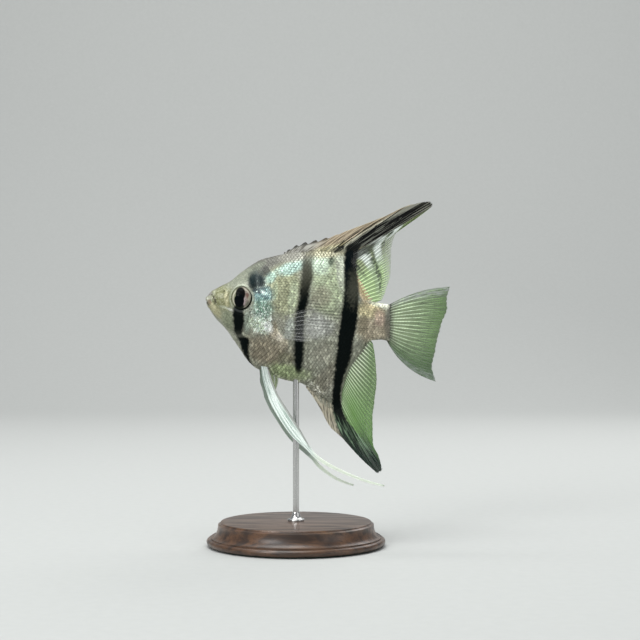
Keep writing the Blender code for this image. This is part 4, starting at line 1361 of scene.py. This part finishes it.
def soft_dorsal(tree, u, v, on_rays):
    """Upright white and dark-dashed columns on a clear green-grey web."""
    beyond = dash_place(tree, u, v)
    upper = between(tree, u, 0.82, 0.72)
    white = mix(tree, upper, COLUMN_WHITE_LOW[on_rays], COLUMN_WHITE[on_rays])
    colour = mix(tree, upper, DORSAL_VEIL_LOW[on_rays], DORSAL_VEIL[on_rays])
    colour = mix(tree, between(tree, beyond, 0.25, 0.45, 0.0, 0.8), colour, DORSAL_REAR)

    def column(middle, half, end, full):
        return times(tree, pulse(tree, beyond, middle, half), between(tree, u, end, full))

    for shape in WHITE_COLUMNS:
        colour = mix(tree, column(*shape), colour, white)
    broken = between(tree, streaks(tree, u, v, 75.0, 7.0), 0.38, 0.58, 0.05, 0.95)
    for shape in DARK_COLUMNS:
        colour = mix(tree, times(tree, column(*shape), broken), colour, COLUMN_DARK)
    root = times(tree, between(tree, u, 0.65, 0.58), between(tree, v, 0.50, 0.28))
    root = times(tree, root, scaled(tree, broken, 0.25, 0.7))
    return mix(tree, root, colour, DORSAL_SOFT_ROOT)


# Pairs of colours: between the streaks and on them.
DORSAL_TAN = ((0.44, 0.39, 0.21), (1.0, 0.98, 0.64))
DORSAL_PINK = ((0.17, 0.135, 0.09), (0.60, 0.50, 0.36))
DORSAL_GREY = ((0.19, 0.18, 0.155), (0.52, 0.51, 0.46))
DORSAL_LINE = (0.018, 0.019, 0.013)
SPINE_TIP = (0.025, 0.025, 0.022)
DORSAL_MARGIN = (0.62, 0.60, 0.46)
BAND_BLACK = (0.003, 0.003, 0.003)
BAND_BLACK_TIP = (0.020, 0.020, 0.016)
BAND_STREAK = (0.145, 0.150, 0.125)
BAND_STREAK_FRONT = (0.60, 0.58, 0.45)
BAND_STREAK_TIP = (0.24, 0.24, 0.20)
DORSAL_DASH = (0.010, 0.011, 0.009)
DORSAL_DASH_AREA = ((43.3, 16.4), (2.3, 0.45), 33)
DORSAL_BAR = (0.005, 0.006, 0.005)


def dorsal_paint(on_rays):
    """Grey then tan in front, a black streaked band to the tip, and a pale dashed soft part."""
    def paint(tree, u, v, where):
        marks = marks_at(tree, where)
        lean = scaled(tree, v, -0.05, u)
        into = band_front(tree, u, v)
        behind = band_rear(tree, u, v)
        share = between(tree, streaks(tree, lean, v, 110.0, 2.5), 0.38, 0.62)
        tan = mix(tree, between(tree, v, 0.12, 0.50), mix(tree, share, *DORSAL_TAN),
                  mix(tree, share, *DORSAL_PINK))
        line = between(tree, streaks(tree, lean, v, 78.0, 2.0), 0.53, 0.47)
        line = times(tree, line, between(tree, into, -0.11, -0.03))
        tan = mix(tree, line, tan, DORSAL_LINE)
        spine_tip = times(tree, between(tree, v, 0.62, 0.86), between(tree, u, 0.22, 0.15))
        grey = mix(tree, times(tree, spine_tip, 0.85), mix(tree, share, *DORSAL_GREY), SPINE_TIP)
        colour = mix(tree, between(tree, u, 0.11, 0.20), grey, tan)
        margin = times(tree, between(tree, v, 0.92, 0.97), between(tree, u, 0.18, 0.26))
        colour = mix(tree, times(tree, margin, 0.5), colour, DORSAL_MARGIN)
        colour = mix(tree, between(tree, behind, 0.01, -0.01), colour,
                     soft_dorsal(tree, u, v, on_rays))

        near_front = between(tree, into, 0.055, 0.0, -0.03, 0.06)
        level = plus(tree, streaks(tree, lean, v, 82.0, 1.6), near_front)
        pale = mix(tree, between(tree, into, 0.055, 0.0), BAND_STREAK, BAND_STREAK_FRONT)
        pale = mix(tree, between(tree, v, 0.70, 0.90), pale, BAND_STREAK_TIP)
        black = mix(tree, between(tree, v, 0.80, 0.95), BAND_BLACK, BAND_BLACK_TIP)
        black = mix(tree, between(tree, level, 0.492, 0.55), black, pale)
        band = times(tree, between(tree, into, -0.012, 0.012),
                     between(tree, behind, -0.012, 0.012))
        colour = mix(tree, band, colour, black)
        x, _, z = split(tree, where)
        dash = oval(tree, x, z, *DORSAL_DASH_AREA)
        colour = mix(tree, between(tree, dash, 1.3, 0.8), colour, DORSAL_DASH)
        short = times(tree, marks["Bar"], between(tree, v, 0.45, 0.2))
        return mix(tree, short, colour, DORSAL_BAR)
    return paint


# Pairs of colours: between the streaks and on them.
ANAL_BROWN = ((0.33, 0.295, 0.22), (0.66, 0.61, 0.46))
ANAL_BROWN_FAR = ((0.17, 0.155, 0.12), (0.52, 0.48, 0.37))
# Pairs of colours: on the web and on the rays.
ANAL_NEAR = ((0.19, 0.25, 0.14), (0.78, 0.88, 0.66))
ANAL_FAR = ((0.11, 0.19, 0.065), (0.33, 0.46, 0.24))
ANAL_SMOOTH = ((0.14, 0.285, 0.070), (0.185, 0.355, 0.105))
ANAL_DEEP = (0.031, 0.070, 0.036)
ANAL_BAND_ROOT = (0.004, 0.006, 0.005)
ANAL_BAND = (0.003, 0.009, 0.008)
ANAL_BAND_STREAK = (0.24, 0.36, 0.23)
ANAL_BAND_TIP = (0.006, 0.027, 0.018)
ANAL_LINE = (0.012, 0.022, 0.016)


def anal_paint(on_rays):
    """Brown in front, a dark streaked band to the tip and pale-rayed grey-green behind."""
    def paint(tree, u, v, where):
        marks = marks_at(tree, where)
        share = between(tree, streaks(tree, u, v, 100.0, 2.5), 0.38, 0.62)
        front = mix(tree, between(tree, v, 0.15, 0.55), mix(tree, share, *ANAL_BROWN),
                    mix(tree, share, *ANAL_BROWN_FAR))
        soft = mix(tree, between(tree, v, 0.25, 0.80), ANAL_NEAR[on_rays], ANAL_FAR[on_rays])
        low = times(tree, between(tree, u, 0.82, 0.60), between(tree, v, 0.0, 0.45, 0.40, 0.95))
        soft = mix(tree, low, soft, ANAL_SMOOTH[on_rays])
        deep = times(tree, between(tree, u, 0.68, 0.52), between(tree, v, 0.40, 0.80))
        soft = mix(tree, times(tree, deep, 0.85), soft, ANAL_DEEP)
        if on_rays:
            soft = joints(tree, v, soft)
        colour = mix(tree, between(tree, u, 0.25, 0.31), front, soft)

        pale = mix(tree, between(tree, v, 0.60, 0.86), ANAL_BAND_STREAK, ANAL_BAND_TIP)
        streak = between(tree, streaks(tree, u, v, 90.0, 2.0), 0.50, 0.60)
        dark = mix(tree, between(tree, v, 0.22, 0.52), ANAL_BAND_ROOT,
                   mix(tree, streak, ANAL_BAND, pale))
        behind = times(tree, between(tree, u, 0.58, 0.46), between(tree, v, 0.30, 0.55))
        behind = times(tree, behind, between(tree, u, 0.28, 0.34))
        line = times(tree, between(tree, streaks(tree, u, v, 90.0, 3.0), 0.52, 0.44), behind)
        colour = mix(tree, times(tree, line, 0.8), colour, ANAL_LINE)
        return mix(tree, marks["Bar"], colour, dark)
    return paint


# Pairs of colours: on the web and on the rays.
CAUDAL_NEAR = ((0.25, 0.32, 0.18), (0.60, 0.71, 0.50))
CAUDAL_FAR = ((0.125, 0.210, 0.075), (0.29, 0.43, 0.21))
CAUDAL_LOW = (0.060, 0.118, 0.045)
CAUDAL_TOP_GREY = (0.38, 0.41, 0.38)
CAUDAL_LOW_GREY = (0.21, 0.25, 0.21)
CAUDAL_FOOT = (0.030, 0.032, 0.026)
CAUDAL_BAR = (0.185, 0.180, 0.150)


def caudal_paint(on_rays):
    """A dark root, pale rays on a smoky grey-green web, and broken grey margins."""
    def paint(tree, u, v, where):
        marks = marks_at(tree, where)
        streak = between(tree, streaks(tree, u, v, 60.0, 4.0), 0.35, 0.65, 0.75, 1.20)
        colour = mix(tree, between(tree, v, 0.25, 0.90), CAUDAL_NEAR[on_rays], CAUDAL_FAR[on_rays])
        colour = gained(tree, colour, streak)
        if on_rays:
            colour = joints(tree, v, colour)
        low = times(tree, between(tree, u, 0.55, 0.95), 0.85)
        colour = mix(tree, low, colour, CAUDAL_LOW)
        broken = between(tree, streaks(tree, u, v, 46.0, 9.0), 0.42, 0.58, 0.25, 0.90)
        top_edge = times(tree, between(tree, u, 0.15, 0.05), broken)
        colour = mix(tree, top_edge, colour, CAUDAL_TOP_GREY)
        low_edge = times(tree, between(tree, u, 0.89, 0.96), broken)
        colour = mix(tree, low_edge, colour, CAUDAL_LOW_GREY)
        if not on_rays:
            foot = times(tree, between(tree, v, 0.16, 0.06), 0.8)
            colour = mix(tree, foot, colour, CAUDAL_FOOT)
        return mix(tree, times(tree, marks["Bar"], 0.6), colour, CAUDAL_BAR)
    return paint


PELVIC_PALE = ((0.46, 0.56, 0.50), (0.92, 1.0, 0.95))
PELVIC_THREAD = (0.86, 0.93, 0.80)
PELVIC_EDGE = (0.25, 0.24, 0.22)
# Painted shade for the far pelvic fin, behind the near one.
FAR_PELVIC_SHADE = (0.19, 0.235, 0.19)
MEMBRANE = (0.42, 0.50, 0.29)
PECTORAL = ((0.46, 0.38, 0.27), (0.70, 0.71, 0.69))


def pelvic_paint(tree, u, v, where):
    """Blue-white, greyer behind, with fine lengthwise streaks."""
    share = between(tree, streaks(tree, u, v, 7.0, 4.0), 0.40, 0.55)
    pale = mix(tree, share, *PELVIC_PALE)
    pale = mix(tree, between(tree, v, 0.55, 0.70), pale, PELVIC_THREAD)
    pale = gained(tree, pale, between(tree, v, 0.02, 0.30, 0.72, 1.05))
    edge = times(tree, between(tree, u, 0.70, 0.95, 0.0, 0.8), between(tree, v, 0.62, 0.50))
    return mix(tree, edge, pale, PELVIC_EDGE)


def membrane(tree, u, v):
    """The thin skin behind the far pelvic fin's root."""
    return times(tree, between(tree, u, 0.55, 0.70), between(tree, v, 0.26, 0.16))


def far_pelvic_solid(tree, u, v, where):
    return scaled(tree, membrane(tree, u, v), -0.5, 0.95)


def far_pelvic_paint(tree, u, v, where):
    """The same fin with painted shade: a little greener and darker, as it lies behind the near one.
    """
    near = pelvic_paint(tree, u, v, where)
    shade = mix(tree, between(tree, v, 0.85, 0.45, 0.25, 0.85), near, FAR_PELVIC_SHADE)
    return mix(tree, membrane(tree, u, v), shade, MEMBRANE)


def pectoral_paint(tree, u, v, where):
    return mix(tree, between(tree, v, 0.0, 0.5), *PECTORAL)


def solid(low_v, high_v):
    """How solid each wall of a web is, from its foot to its margin."""
    return lambda tree, u, v, where: between(tree, v, 0.05, 0.85, low_v, high_v)


def dorsal_solid(tree, u, v, where):
    """Solid in front, half clear in the soft part, clearest towards the margin."""
    soft = between(tree, dash_place(tree, u, v), 0.05, 0.50, 0.70, 0.34)
    soft = times(tree, soft, between(tree, v, 0.65, 1.0, 1.0, 0.30))
    lead = between(tree, band_rear(tree, u, v), -0.02, 0.01, 0.0, 0.95)
    return most(tree, soft, lead)


def dorsal_ray_solid(tree, u, v, where):
    """Rays are solid up to the dashed band and fade beyond it."""
    soft = between(tree, dash_place(tree, u, v), 0.15, 0.50, 1.0, 0.35)
    return most(tree, soft, between(tree, band_rear(tree, u, v), -0.02, 0.01))


def anal_solid(tree, u, v, where):
    """Solid spiny front and dark band, half clear behind."""
    marks = marks_at(tree, where)
    soft = between(tree, v, 0.10, 0.90, 0.78, 0.66)
    lead = between(tree, u, 0.31, 0.25, 0.0, 0.95)
    return most(tree, most(tree, soft, lead), times(tree, marks["Bar"], 0.9))


DORSAL_SOFT = 0.41                # u where the spines end and the soft rays start
DORSAL_TIP = 0.60                 # u where the rays come to stand further apart
ANAL_SOFT = 0.26
ANAL_TIP = 0.46
LAST_RAY = 0.995
FIN_SCALE = 0.62


def dorsal_notch(u):
    """The web dips far between the first spines."""
    return 0.010 + 0.20 * step(0.24, 0.10, u)


def dorsal_reach(u):
    return 2.6 * step(0.14, 0.24, u) * step(0.62, 0.45, u) + 1.3 + 0.7 * step(0.60, 0.72, u)


def anal_reach(u):
    return 1.6 + 1.6 * step(0.05, 0.15, u) * step(0.6, 0.4, u)


def build_fins(scale_finish):
    """Dorsal, anal, tail and pectoral fins."""
    dorsal = fin_surface(DORSAL_RAYS, lambda u, v: DORSAL_LEAN * v * v * u)
    looks = (fin_look("dorsal_web", dorsal_paint(False), dorsal_solid),
             fin_look("dorsal_ray", dorsal_paint(True), dorsal_ray_solid))
    spines = even_rays(dorsal, 0.0, DORSAL_SOFT, 13, 0.6)
    rays = even_rays(dorsal, DORSAL_SOFT, DORSAL_TIP, 10, 0.5)
    rays += even_rays(dorsal, DORSAL_TIP, LAST_RAY, 15)
    build_fin("dorsal_fin", dorsal, spines, rays, (0.40, 0.46), (0.50, 0.80), looks, dorsal_notch)

    anal = fin_surface(ANAL_RAYS, lambda u, v: ANAL_LEAN * v * v * u)
    looks = (fin_look("anal_web", anal_paint(False), anal_solid),
             fin_look("anal_ray", anal_paint(True)))
    spines = even_rays(anal, 0.0, ANAL_SOFT, 6, 0.6)
    rays = even_rays(anal, ANAL_SOFT, ANAL_TIP, 7, 0.5)
    rays += even_rays(anal, ANAL_TIP, LAST_RAY, 26, 0.45)
    build_fin("anal_fin", anal, spines, rays, (0.42, 0.44), (0.80, 0.94), looks)

    caudal = fin_surface(CAUDAL_RAYS, lambda u, v: CAUDAL_TWIST * (0.5 - u) * v * v)
    looks = (fin_look("caudal_web", caudal_paint(False), solid(0.78, 0.64)),
             fin_look("caudal_ray", caudal_paint(True)))
    rays = even_rays(caudal, 0.01, 0.99, 19, 0.5)
    build_fin("caudal_fin", caudal, [], rays, (0.4, 0.50), (0.46, 0.78), looks)

    looks = (fin_look("pectoral_web", pectoral_paint, solid(0.02, 0.03)),
             fin_look("pectoral_ray", pectoral_paint, solid(0.10, 0.22)))
    for side, sign in SIDES:
        def spread(u, v):
            return sign * (PECTORAL_ROOT + PECTORAL_SPREAD * v ** 0.8)

        at = fin_surface(PECTORAL_RAYS, spread)
        build_fin("pectoral_fin_" + side, at, even_rays(at, 0.01, 0.99, 8), [], (0.28, 0.2),
                  (0.9, 0.95), looks)

    fin_scales("dorsal_scales", "dorsal_fin", dorsal, 0.14, 0.97, dorsal_reach, FIN_SCALE,
               scale_finish)
    fin_scales("anal_scales", "anal_fin", anal, 0.04, 0.95, anal_reach, FIN_SCALE, scale_finish)


def pelvic_surface(rows, sign):
    """(u, v) on a pelvic fin: u across it, front edge first, and v from root to tip."""
    line = blended(rows)

    def at(u, v):
        x, z, width, out = line(np.clip(v, 0.0, 1.0))
        x2, z2, _, _ = line(np.clip(v + 0.01, 0.0, 1.0))
        x1, z1, _, _ = line(np.clip(v - 0.01, 0.0, 1.0))
        run = np.maximum(np.hypot(x2 - x1, z2 - z1), 1e-6)
        off = (u - 0.5) * width
        return x - (z2 - z1) / run * off, sign * (out + 0 * u), z + (x2 - x1) / run * off

    return at


# Across the fin, where along it the ray ends, and thickness.
PELVIC_RAYS = (
    (0.10, 0.52, 0.50), (0.30, 0.62, 0.50), (0.50, 0.74, 0.52), (0.70, 0.88, 0.56),
    (0.88, 1.0, 0.60),
)


def build_pelvics():
    """Long feelers: rays laid side by side that end one after another, in a thin web."""
    points, faces = ball(8, 48)
    fins = ((PELVIC_LEFT, pelvic_paint, solid(0.97, 0.90)),
            (PELVIC_RIGHT, far_pelvic_paint, far_pelvic_solid))
    for (side, sign), (rows, paint, clear) in zip(SIDES, fins):
        name = "pelvic_fin_" + side
        at = pelvic_surface(rows, sign)
        parts = [ray_shape(at, points, lambda t: u + (0.5 - u) * 0.5 * step(0.5, 1.0, t),
                           0.0, end, thick, thick * 0.42) for u, end, thick in PELVIC_RAYS]
        across = [row[0] for row in PELVIC_RAYS]
        build_web(name + "_web", at, across, [1.0] * len(across), lambda u: 0.0,
                  fin_look(name + "_web", paint, clear), "pelvic", (name,))
        build_rays(name + "_rays", parts, faces, fin_look(name + "_ray", paint), "pelvic", (name,))


# ---------------------------------------------------------------- eyes
PUPIL_MIDDLE = (-0.80, -0.70)     # from the eye's middle
PUPIL_RADII = (1.55, 2.12)
IRIS_DEPTH = 0.10
# Pairs of colours: the dark and the light grain.
IRIS_FRONT = ((0.12, 0.13, 0.075), (0.27, 0.28, 0.19))
IRIS_REAR = ((0.19, 0.15, 0.125), (0.41, 0.36, 0.32))
IRIS_RIM = (0.52, 0.50, 0.40)
# Soft ovals on the iris: colour, middle, radii, turn, where each starts and is full, strength.
IRIS_SPOTS = (
    ((0.15, 0.070, 0.055), (1.85, 0.9), (0.55, 0.95), 15, (1.3, 0.5), 0.75),  # rust
    ((0.52, 0.51, 0.38), (2.45, -0.1), (0.45, 1.0), 0, (1.3, 0.5), 0.7),      # straw
    ((0.16, 0.18, 0.125), (2.0, -1.9), (0.8, 0.9), 0, (1.3, 0.5), 0.6),       # olive
)
IRIS_WASHES = (
    ((0.0045, 0.0045, 0.0045), (-0.38, 1.45), (1.60, 2.20), 0, (1.10, 0.86), 1.0),  # dark cap
    ((0.014, 0.018, 0.013), (-0.7, -2.6), (1.5, 1.0), 0, (1.25, 0.75), 1.0),        # dark foot
)
LILAC = (0.44, 0.35, 0.36)
PUPIL_BLACK = (0.002, 0.003, 0.004)
# Painted shadow on the eye's rim.
EYE_EDGE_SHADOW = (0.020, 0.024, 0.018)


def iris_spots(tree, x, z, spots, colour):
    for shade, middle, radii, turn, span, strength in spots:
        away = oval(tree, x, z, middle, radii, turn)
        colour = mix(tree, between(tree, away, *span, 0.0, strength), colour, shade)
    return colour


def eye_look():
    """Iris and pupil: a dark wash above and below, rose-brown behind and pale olive in front, and
    painted shadow on the rim, heaviest at the low rear.
    """
    made, tree, shader = new_material("fish_eye", 0.30, Coat_Weight=0.04, Coat_Roughness=0.05,
                                      Specular_IOR_Level=0.02)
    where = drawing_place(tree)
    x, _, z = split(tree, where)
    x = minus(tree, x, EYE_MIDDLE[0])
    z = minus(tree, z, EYE_MIDDLE[1])
    ring = oval(tree, x, z, (0.0, 0.0), (EYE_RADII[0], EYE_RADII[2]))
    pupil = oval(tree, x, z, PUPIL_MIDDLE, PUPIL_RADII)
    light = between(tree, noise(tree, where, 5.0, 3.0, 0.6), 0.35, 0.65)
    colour = mix(tree, between(tree, x, -1.2, 1.2), mix(tree, light, *IRIS_FRONT),
                 mix(tree, light, *IRIS_REAR))
    rim = times(tree, between(tree, ring, 0.70, 0.78), between(tree, ring, 0.90, 0.84))
    colour = mix(tree, times(tree, rim, 0.8), colour, IRIS_RIM)
    colour = iris_spots(tree, x, z, IRIS_SPOTS, colour)
    lilac = times(tree, between(tree, pupil, 1.36, 1.20), between(tree, x, 0.1, 0.7))
    lilac = times(tree, lilac, between(tree, z, 1.7, 0.7))
    colour = mix(tree, times(tree, lilac, 0.85), colour, LILAC)
    colour = iris_spots(tree, x, z, IRIS_WASHES, colour)
    colour = mix(tree, between(tree, pupil, 1.06, 0.98), colour, PUPIL_BLACK)
    # Painted shadow: the rim darkens, most and widest on its low rear side.
    behind = between(tree, scaled(tree, z, -0.8, x), -2.0, 2.0, 0.35, 1.0)
    low_rear = between(tree, scaled(tree, z, -1.0, x), 1.6, 3.2, 0.0, 0.12)
    past_rim = minus(tree, ring, minus(tree, 0.90, low_rear))
    edge = times(tree, between(tree, past_rim, 0.0, 0.05), behind)
    feed_all(tree, shader, Base_Color=mix(tree, edge, colour, EYE_EDGE_SHADOW),
             Roughness=between(tree, pupil, 1.0, 1.1, 0.16, 0.36))
    return made


def build_eyes(look):
    """Flattened balls whose iris lies a little lower than the clear rim and the pupil."""
    for side, sign in SIDES:
        low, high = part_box("eye_" + side)
        middle = (low + high) / 2
        half = (high - low) / 2
        bm = bmesh.new()
        bmesh.ops.create_uvsphere(bm, u_segments=96, v_segments=72, radius=1.0)
        for vert in bm.verts:
            ahead, above, out = vert.co
            x = middle.x - sign * ahead * half.x
            z = middle.z + above * half.z
            from_pupil = math.hypot(
                (-sign * ahead * half.x / MM - PUPIL_MIDDLE[0]) / PUPIL_RADII[0],
                (above * half.z / MM - PUPIL_MIDDLE[1]) / PUPIL_RADII[1])
            inside_rim = step(0.86, 0.80, math.hypot(ahead, above))
            sunk = IRIS_DEPTH * inside_rim * step(0.95, 1.10, from_pupil)
            reach = out * half.y - (sunk * MM if out > 0 else 0.0)
            vert.co = (x, middle.y + sign * reach, z)
        name = "eyeball_" + side
        finish_piece(name, bm_mesh(name, bm), look, "eye", ("eye_" + side,))


# ---------------------------------------------------------------- stand
SHARP_ANGLE = math.radians(35)


def turned_piece(name, profile, steps, look, slot, nodes):
    """A turned piece. Its outline is (radius, height), millimetres, from axis to axis."""
    bm = bmesh.new()
    verts = [bm.verts.new((r * MM, 0.0, z * MM)) for r, z in profile]
    edges = [bm.edges.new(pair) for pair in zip(verts, verts[1:])]
    bmesh.ops.spin(bm, geom=verts + edges, cent=(0.0, 0.0, 0.0), axis=(0.0, 0.0, 1.0),
                   dvec=(0.0, 0.0, 0.0), angle=2 * math.pi, steps=steps, use_merge=True,
                   use_normal_flip=False, use_duplicate=False)
    bmesh.ops.remove_doubles(bm, verts=bm.verts, dist=1e-6)
    outward(bm)
    made = finish_piece(name, bm_mesh(name, bm), look, slot, nodes)
    made.data.set_sharp_from_angle(angle=SHARP_ANGLE)


def arc(middle_r, middle_z, radius_r, radius_z, start, end, count):
    """Points on an oval arc of an outline; angles in degrees."""
    return [(middle_r + radius_r * math.cos(angle), middle_z + radius_z * math.sin(angle))
            for angle in np.radians(np.linspace(start, end, count))]


FELT = 0.5
FELT_INSET = 1.5
BASE_BEAD = 2.2
COVE_WIDTH = 4.0
COVE_HEIGHT = 4.2
COVE_STEP = 0.3                   # from the bead in to the cove
TOP_EDGE = 0.5
COLLAR_EDGE = 0.35
ROD_SINK = 3.0                    # how far the rod goes into the base
ROD_EDGE = 0.3


def radius_and_top(node_name):
    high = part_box(node_name)[1]
    return high.x / MM, high.z / MM


def build_stand(wood, steel, felt):
    """A turned base on felt, a steel collar and a rod into the belly."""
    radius, top = radius_and_top("stand_base")
    rod_r, rod_top = radius_and_top("stand_rod")
    collar_r, collar_top = radius_and_top("stand_collar")
    bead = BASE_BEAD / 2
    waist = radius - bead
    bead_top = FELT + BASE_BEAD
    outline = [(0.0, FELT), (waist, FELT)]
    outline += arc(waist, FELT + bead, bead, bead, -90, 90, 17)
    outline += [(waist - 0.2, bead_top), (waist - 0.2, bead_top + 0.4)]
    outline += arc(waist - COVE_STEP, top - 0.9, COVE_WIDTH - bead - 2 * COVE_STEP, COVE_HEIGHT,
                   -90, -180, 17)[1:]
    outline += arc(radius - COVE_WIDTH - 0.4 - TOP_EDGE, top - TOP_EDGE, TOP_EDGE, TOP_EDGE,
                   0, 90, 7)
    outline += [(0.0, top)]
    turned_piece("stand_base_turned", outline, 128, wood, "stand_wood", ("stand_base",))
    felt_r = radius - FELT_INSET
    disc = [(0.0, 0.0), (felt_r, 0.0), (felt_r, FELT), (0.0, FELT)]
    turned_piece("stand_base_felt", disc, 96, felt, "stand_wood", ())

    foot = [(0.0, top), (collar_r, top)]
    foot += arc(collar_r - COLLAR_EDGE, top + 0.4, COLLAR_EDGE, 0.4, -60, 90, 7)
    foot += arc(collar_r - 0.4, collar_top - 0.2, collar_r - rod_r - 0.7, collar_top - top - 1.0,
                -90, -180, 11)
    foot += [(rod_r + 0.2, collar_top), (0.0, collar_top)]
    turned_piece("stand_collar_turned", foot, 64, steel, "stand_metal", ("stand_collar",))
    rod = [(0.0, top - ROD_SINK), (rod_r, top - ROD_SINK), (rod_r, rod_top - ROD_EDGE),
           (rod_r - ROD_EDGE, rod_top), (0.0, rod_top)]
    turned_piece("stand_rod_turned", rod, 48, steel, "stand_metal", ("stand_rod",))


# ---------------------------------------------------------------- stage, light and camera
FLOOR_DEPTH = 0.7                 # behind the middle, metres
FLOOR_FRONT = 0.9                 # before it
SWEEP_RADIUS = 0.55
SWEEP_LENGTH = 2.6
SWEEP_WIDTH = 4.0


def build_stage(paper):
    """A pale floor that sweeps up into a backdrop."""
    bm = bmesh.new()
    bmesh.ops.create_grid(bm, x_segments=2, y_segments=60, size=0.5)
    for vert in bm.verts:
        run = (vert.co.y + 0.5) * SWEEP_LENGTH - FLOOR_FRONT
        past = max(0.0, run - FLOOR_DEPTH)
        turn = min(past / SWEEP_RADIUS, math.pi / 2)
        over = max(0.0, past - SWEEP_RADIUS * math.pi / 2)
        vert.co = (vert.co.x * SWEEP_WIDTH, min(run, FLOOR_DEPTH) + SWEEP_RADIUS * math.sin(turn),
                   SWEEP_RADIUS * (1 - math.cos(turn)) + over)
    mesh = bm_mesh("stage_sweep", bm)
    mesh.shade_smooth()
    mesh.materials.append(paper)
    add_object("stage_sweep", mesh)


def area_light(name, place_at, aim, size, power, colour):
    data = bpy.data.lights.new(name, "AREA")
    data.shape = "RECTANGLE"
    data.size, data.size_y = size
    data.energy = power
    data.color = colour
    made = add_object(name, data)
    made.location = place_at
    made.rotation_euler = (Vector(aim) - Vector(place_at)).to_track_quat("-Z", "Y").to_euler()


FISH_MIDDLE = (0.005, 0.0, 0.075)
WHITE = (1.0, 1.0, 1.0)
# Name, place, aim, size, power in watts, colour.
LIGHTS = (
    ("top_softbox", (-0.12, -0.20, 0.75), FISH_MIDDLE, (0.6, 0.45), 5.0, (0.98, 1.0, 1.0)),
    ("front_softbox", (-0.45, -0.60, 0.42), FISH_MIDDLE, (0.35, 0.35), 2.8, WHITE),
    ("right_fill", (0.7, -0.45, 0.25), FISH_MIDDLE, (0.5, 0.5), 0.8, WHITE),
    ("rear_softbox", (0.35, 0.45, 0.55), FISH_MIDDLE, (0.5, 0.4), 1.6, WHITE),
    ("backdrop_light", (0.0, 0.25, 0.95), (0.0, 1.25, 0.35), (1.6, 0.4), 8.5, WHITE),
)
SKY = (0.92, 0.96, 1.0, 1.0)
SKY_STRENGTH = 0.30


def build_lights():
    """Soft daylight from above and in front, with a weaker light from behind."""
    for light in LIGHTS:
        area_light(*light)
    world = bpy.data.worlds.new("studio")
    bpy.context.scene.world = world
    world.use_nodes = True
    sky = world.node_tree.nodes["Background"]
    feed_all(world.node_tree, sky, Color=SKY, Strength=SKY_STRENGTH)
    bpy.context.scene.view_settings.view_transform = "Standard"


CAMERA_DISTANCE = 0.490
CAMERA_LENS = 84.8
CAMERA_AIM = (37.2, -6.5)         # in the drawing, millimetres
SENSOR_WIDTH = 36.0


def build_camera():
    data = bpy.data.cameras.new("view")
    data.lens = CAMERA_LENS
    data.sensor_width = SENSOR_WIDTH
    data.clip_start = 0.01
    made = add_object("view", data)
    made.location = ((CAMERA_AIM[0] + SNOUT_X) * MM, -CAMERA_DISTANCE,
                     (CAMERA_AIM[1] + SNOUT_Z) * MM)
    made.rotation_euler = (math.pi / 2, 0.0, 0.0)
    bpy.context.scene.camera = made


def main():
    markings_group()
    scale_finish = scale_look()
    build_skin(skin_look())
    build_scales(scale_finish)
    build_fins(scale_finish)
    build_pelvics()
    build_eyes(eye_look())
    build_stand(wood_look(), steel_look(), felt_look())
    build_stage(paper_look())
    build_lights()
    build_camera()


main()
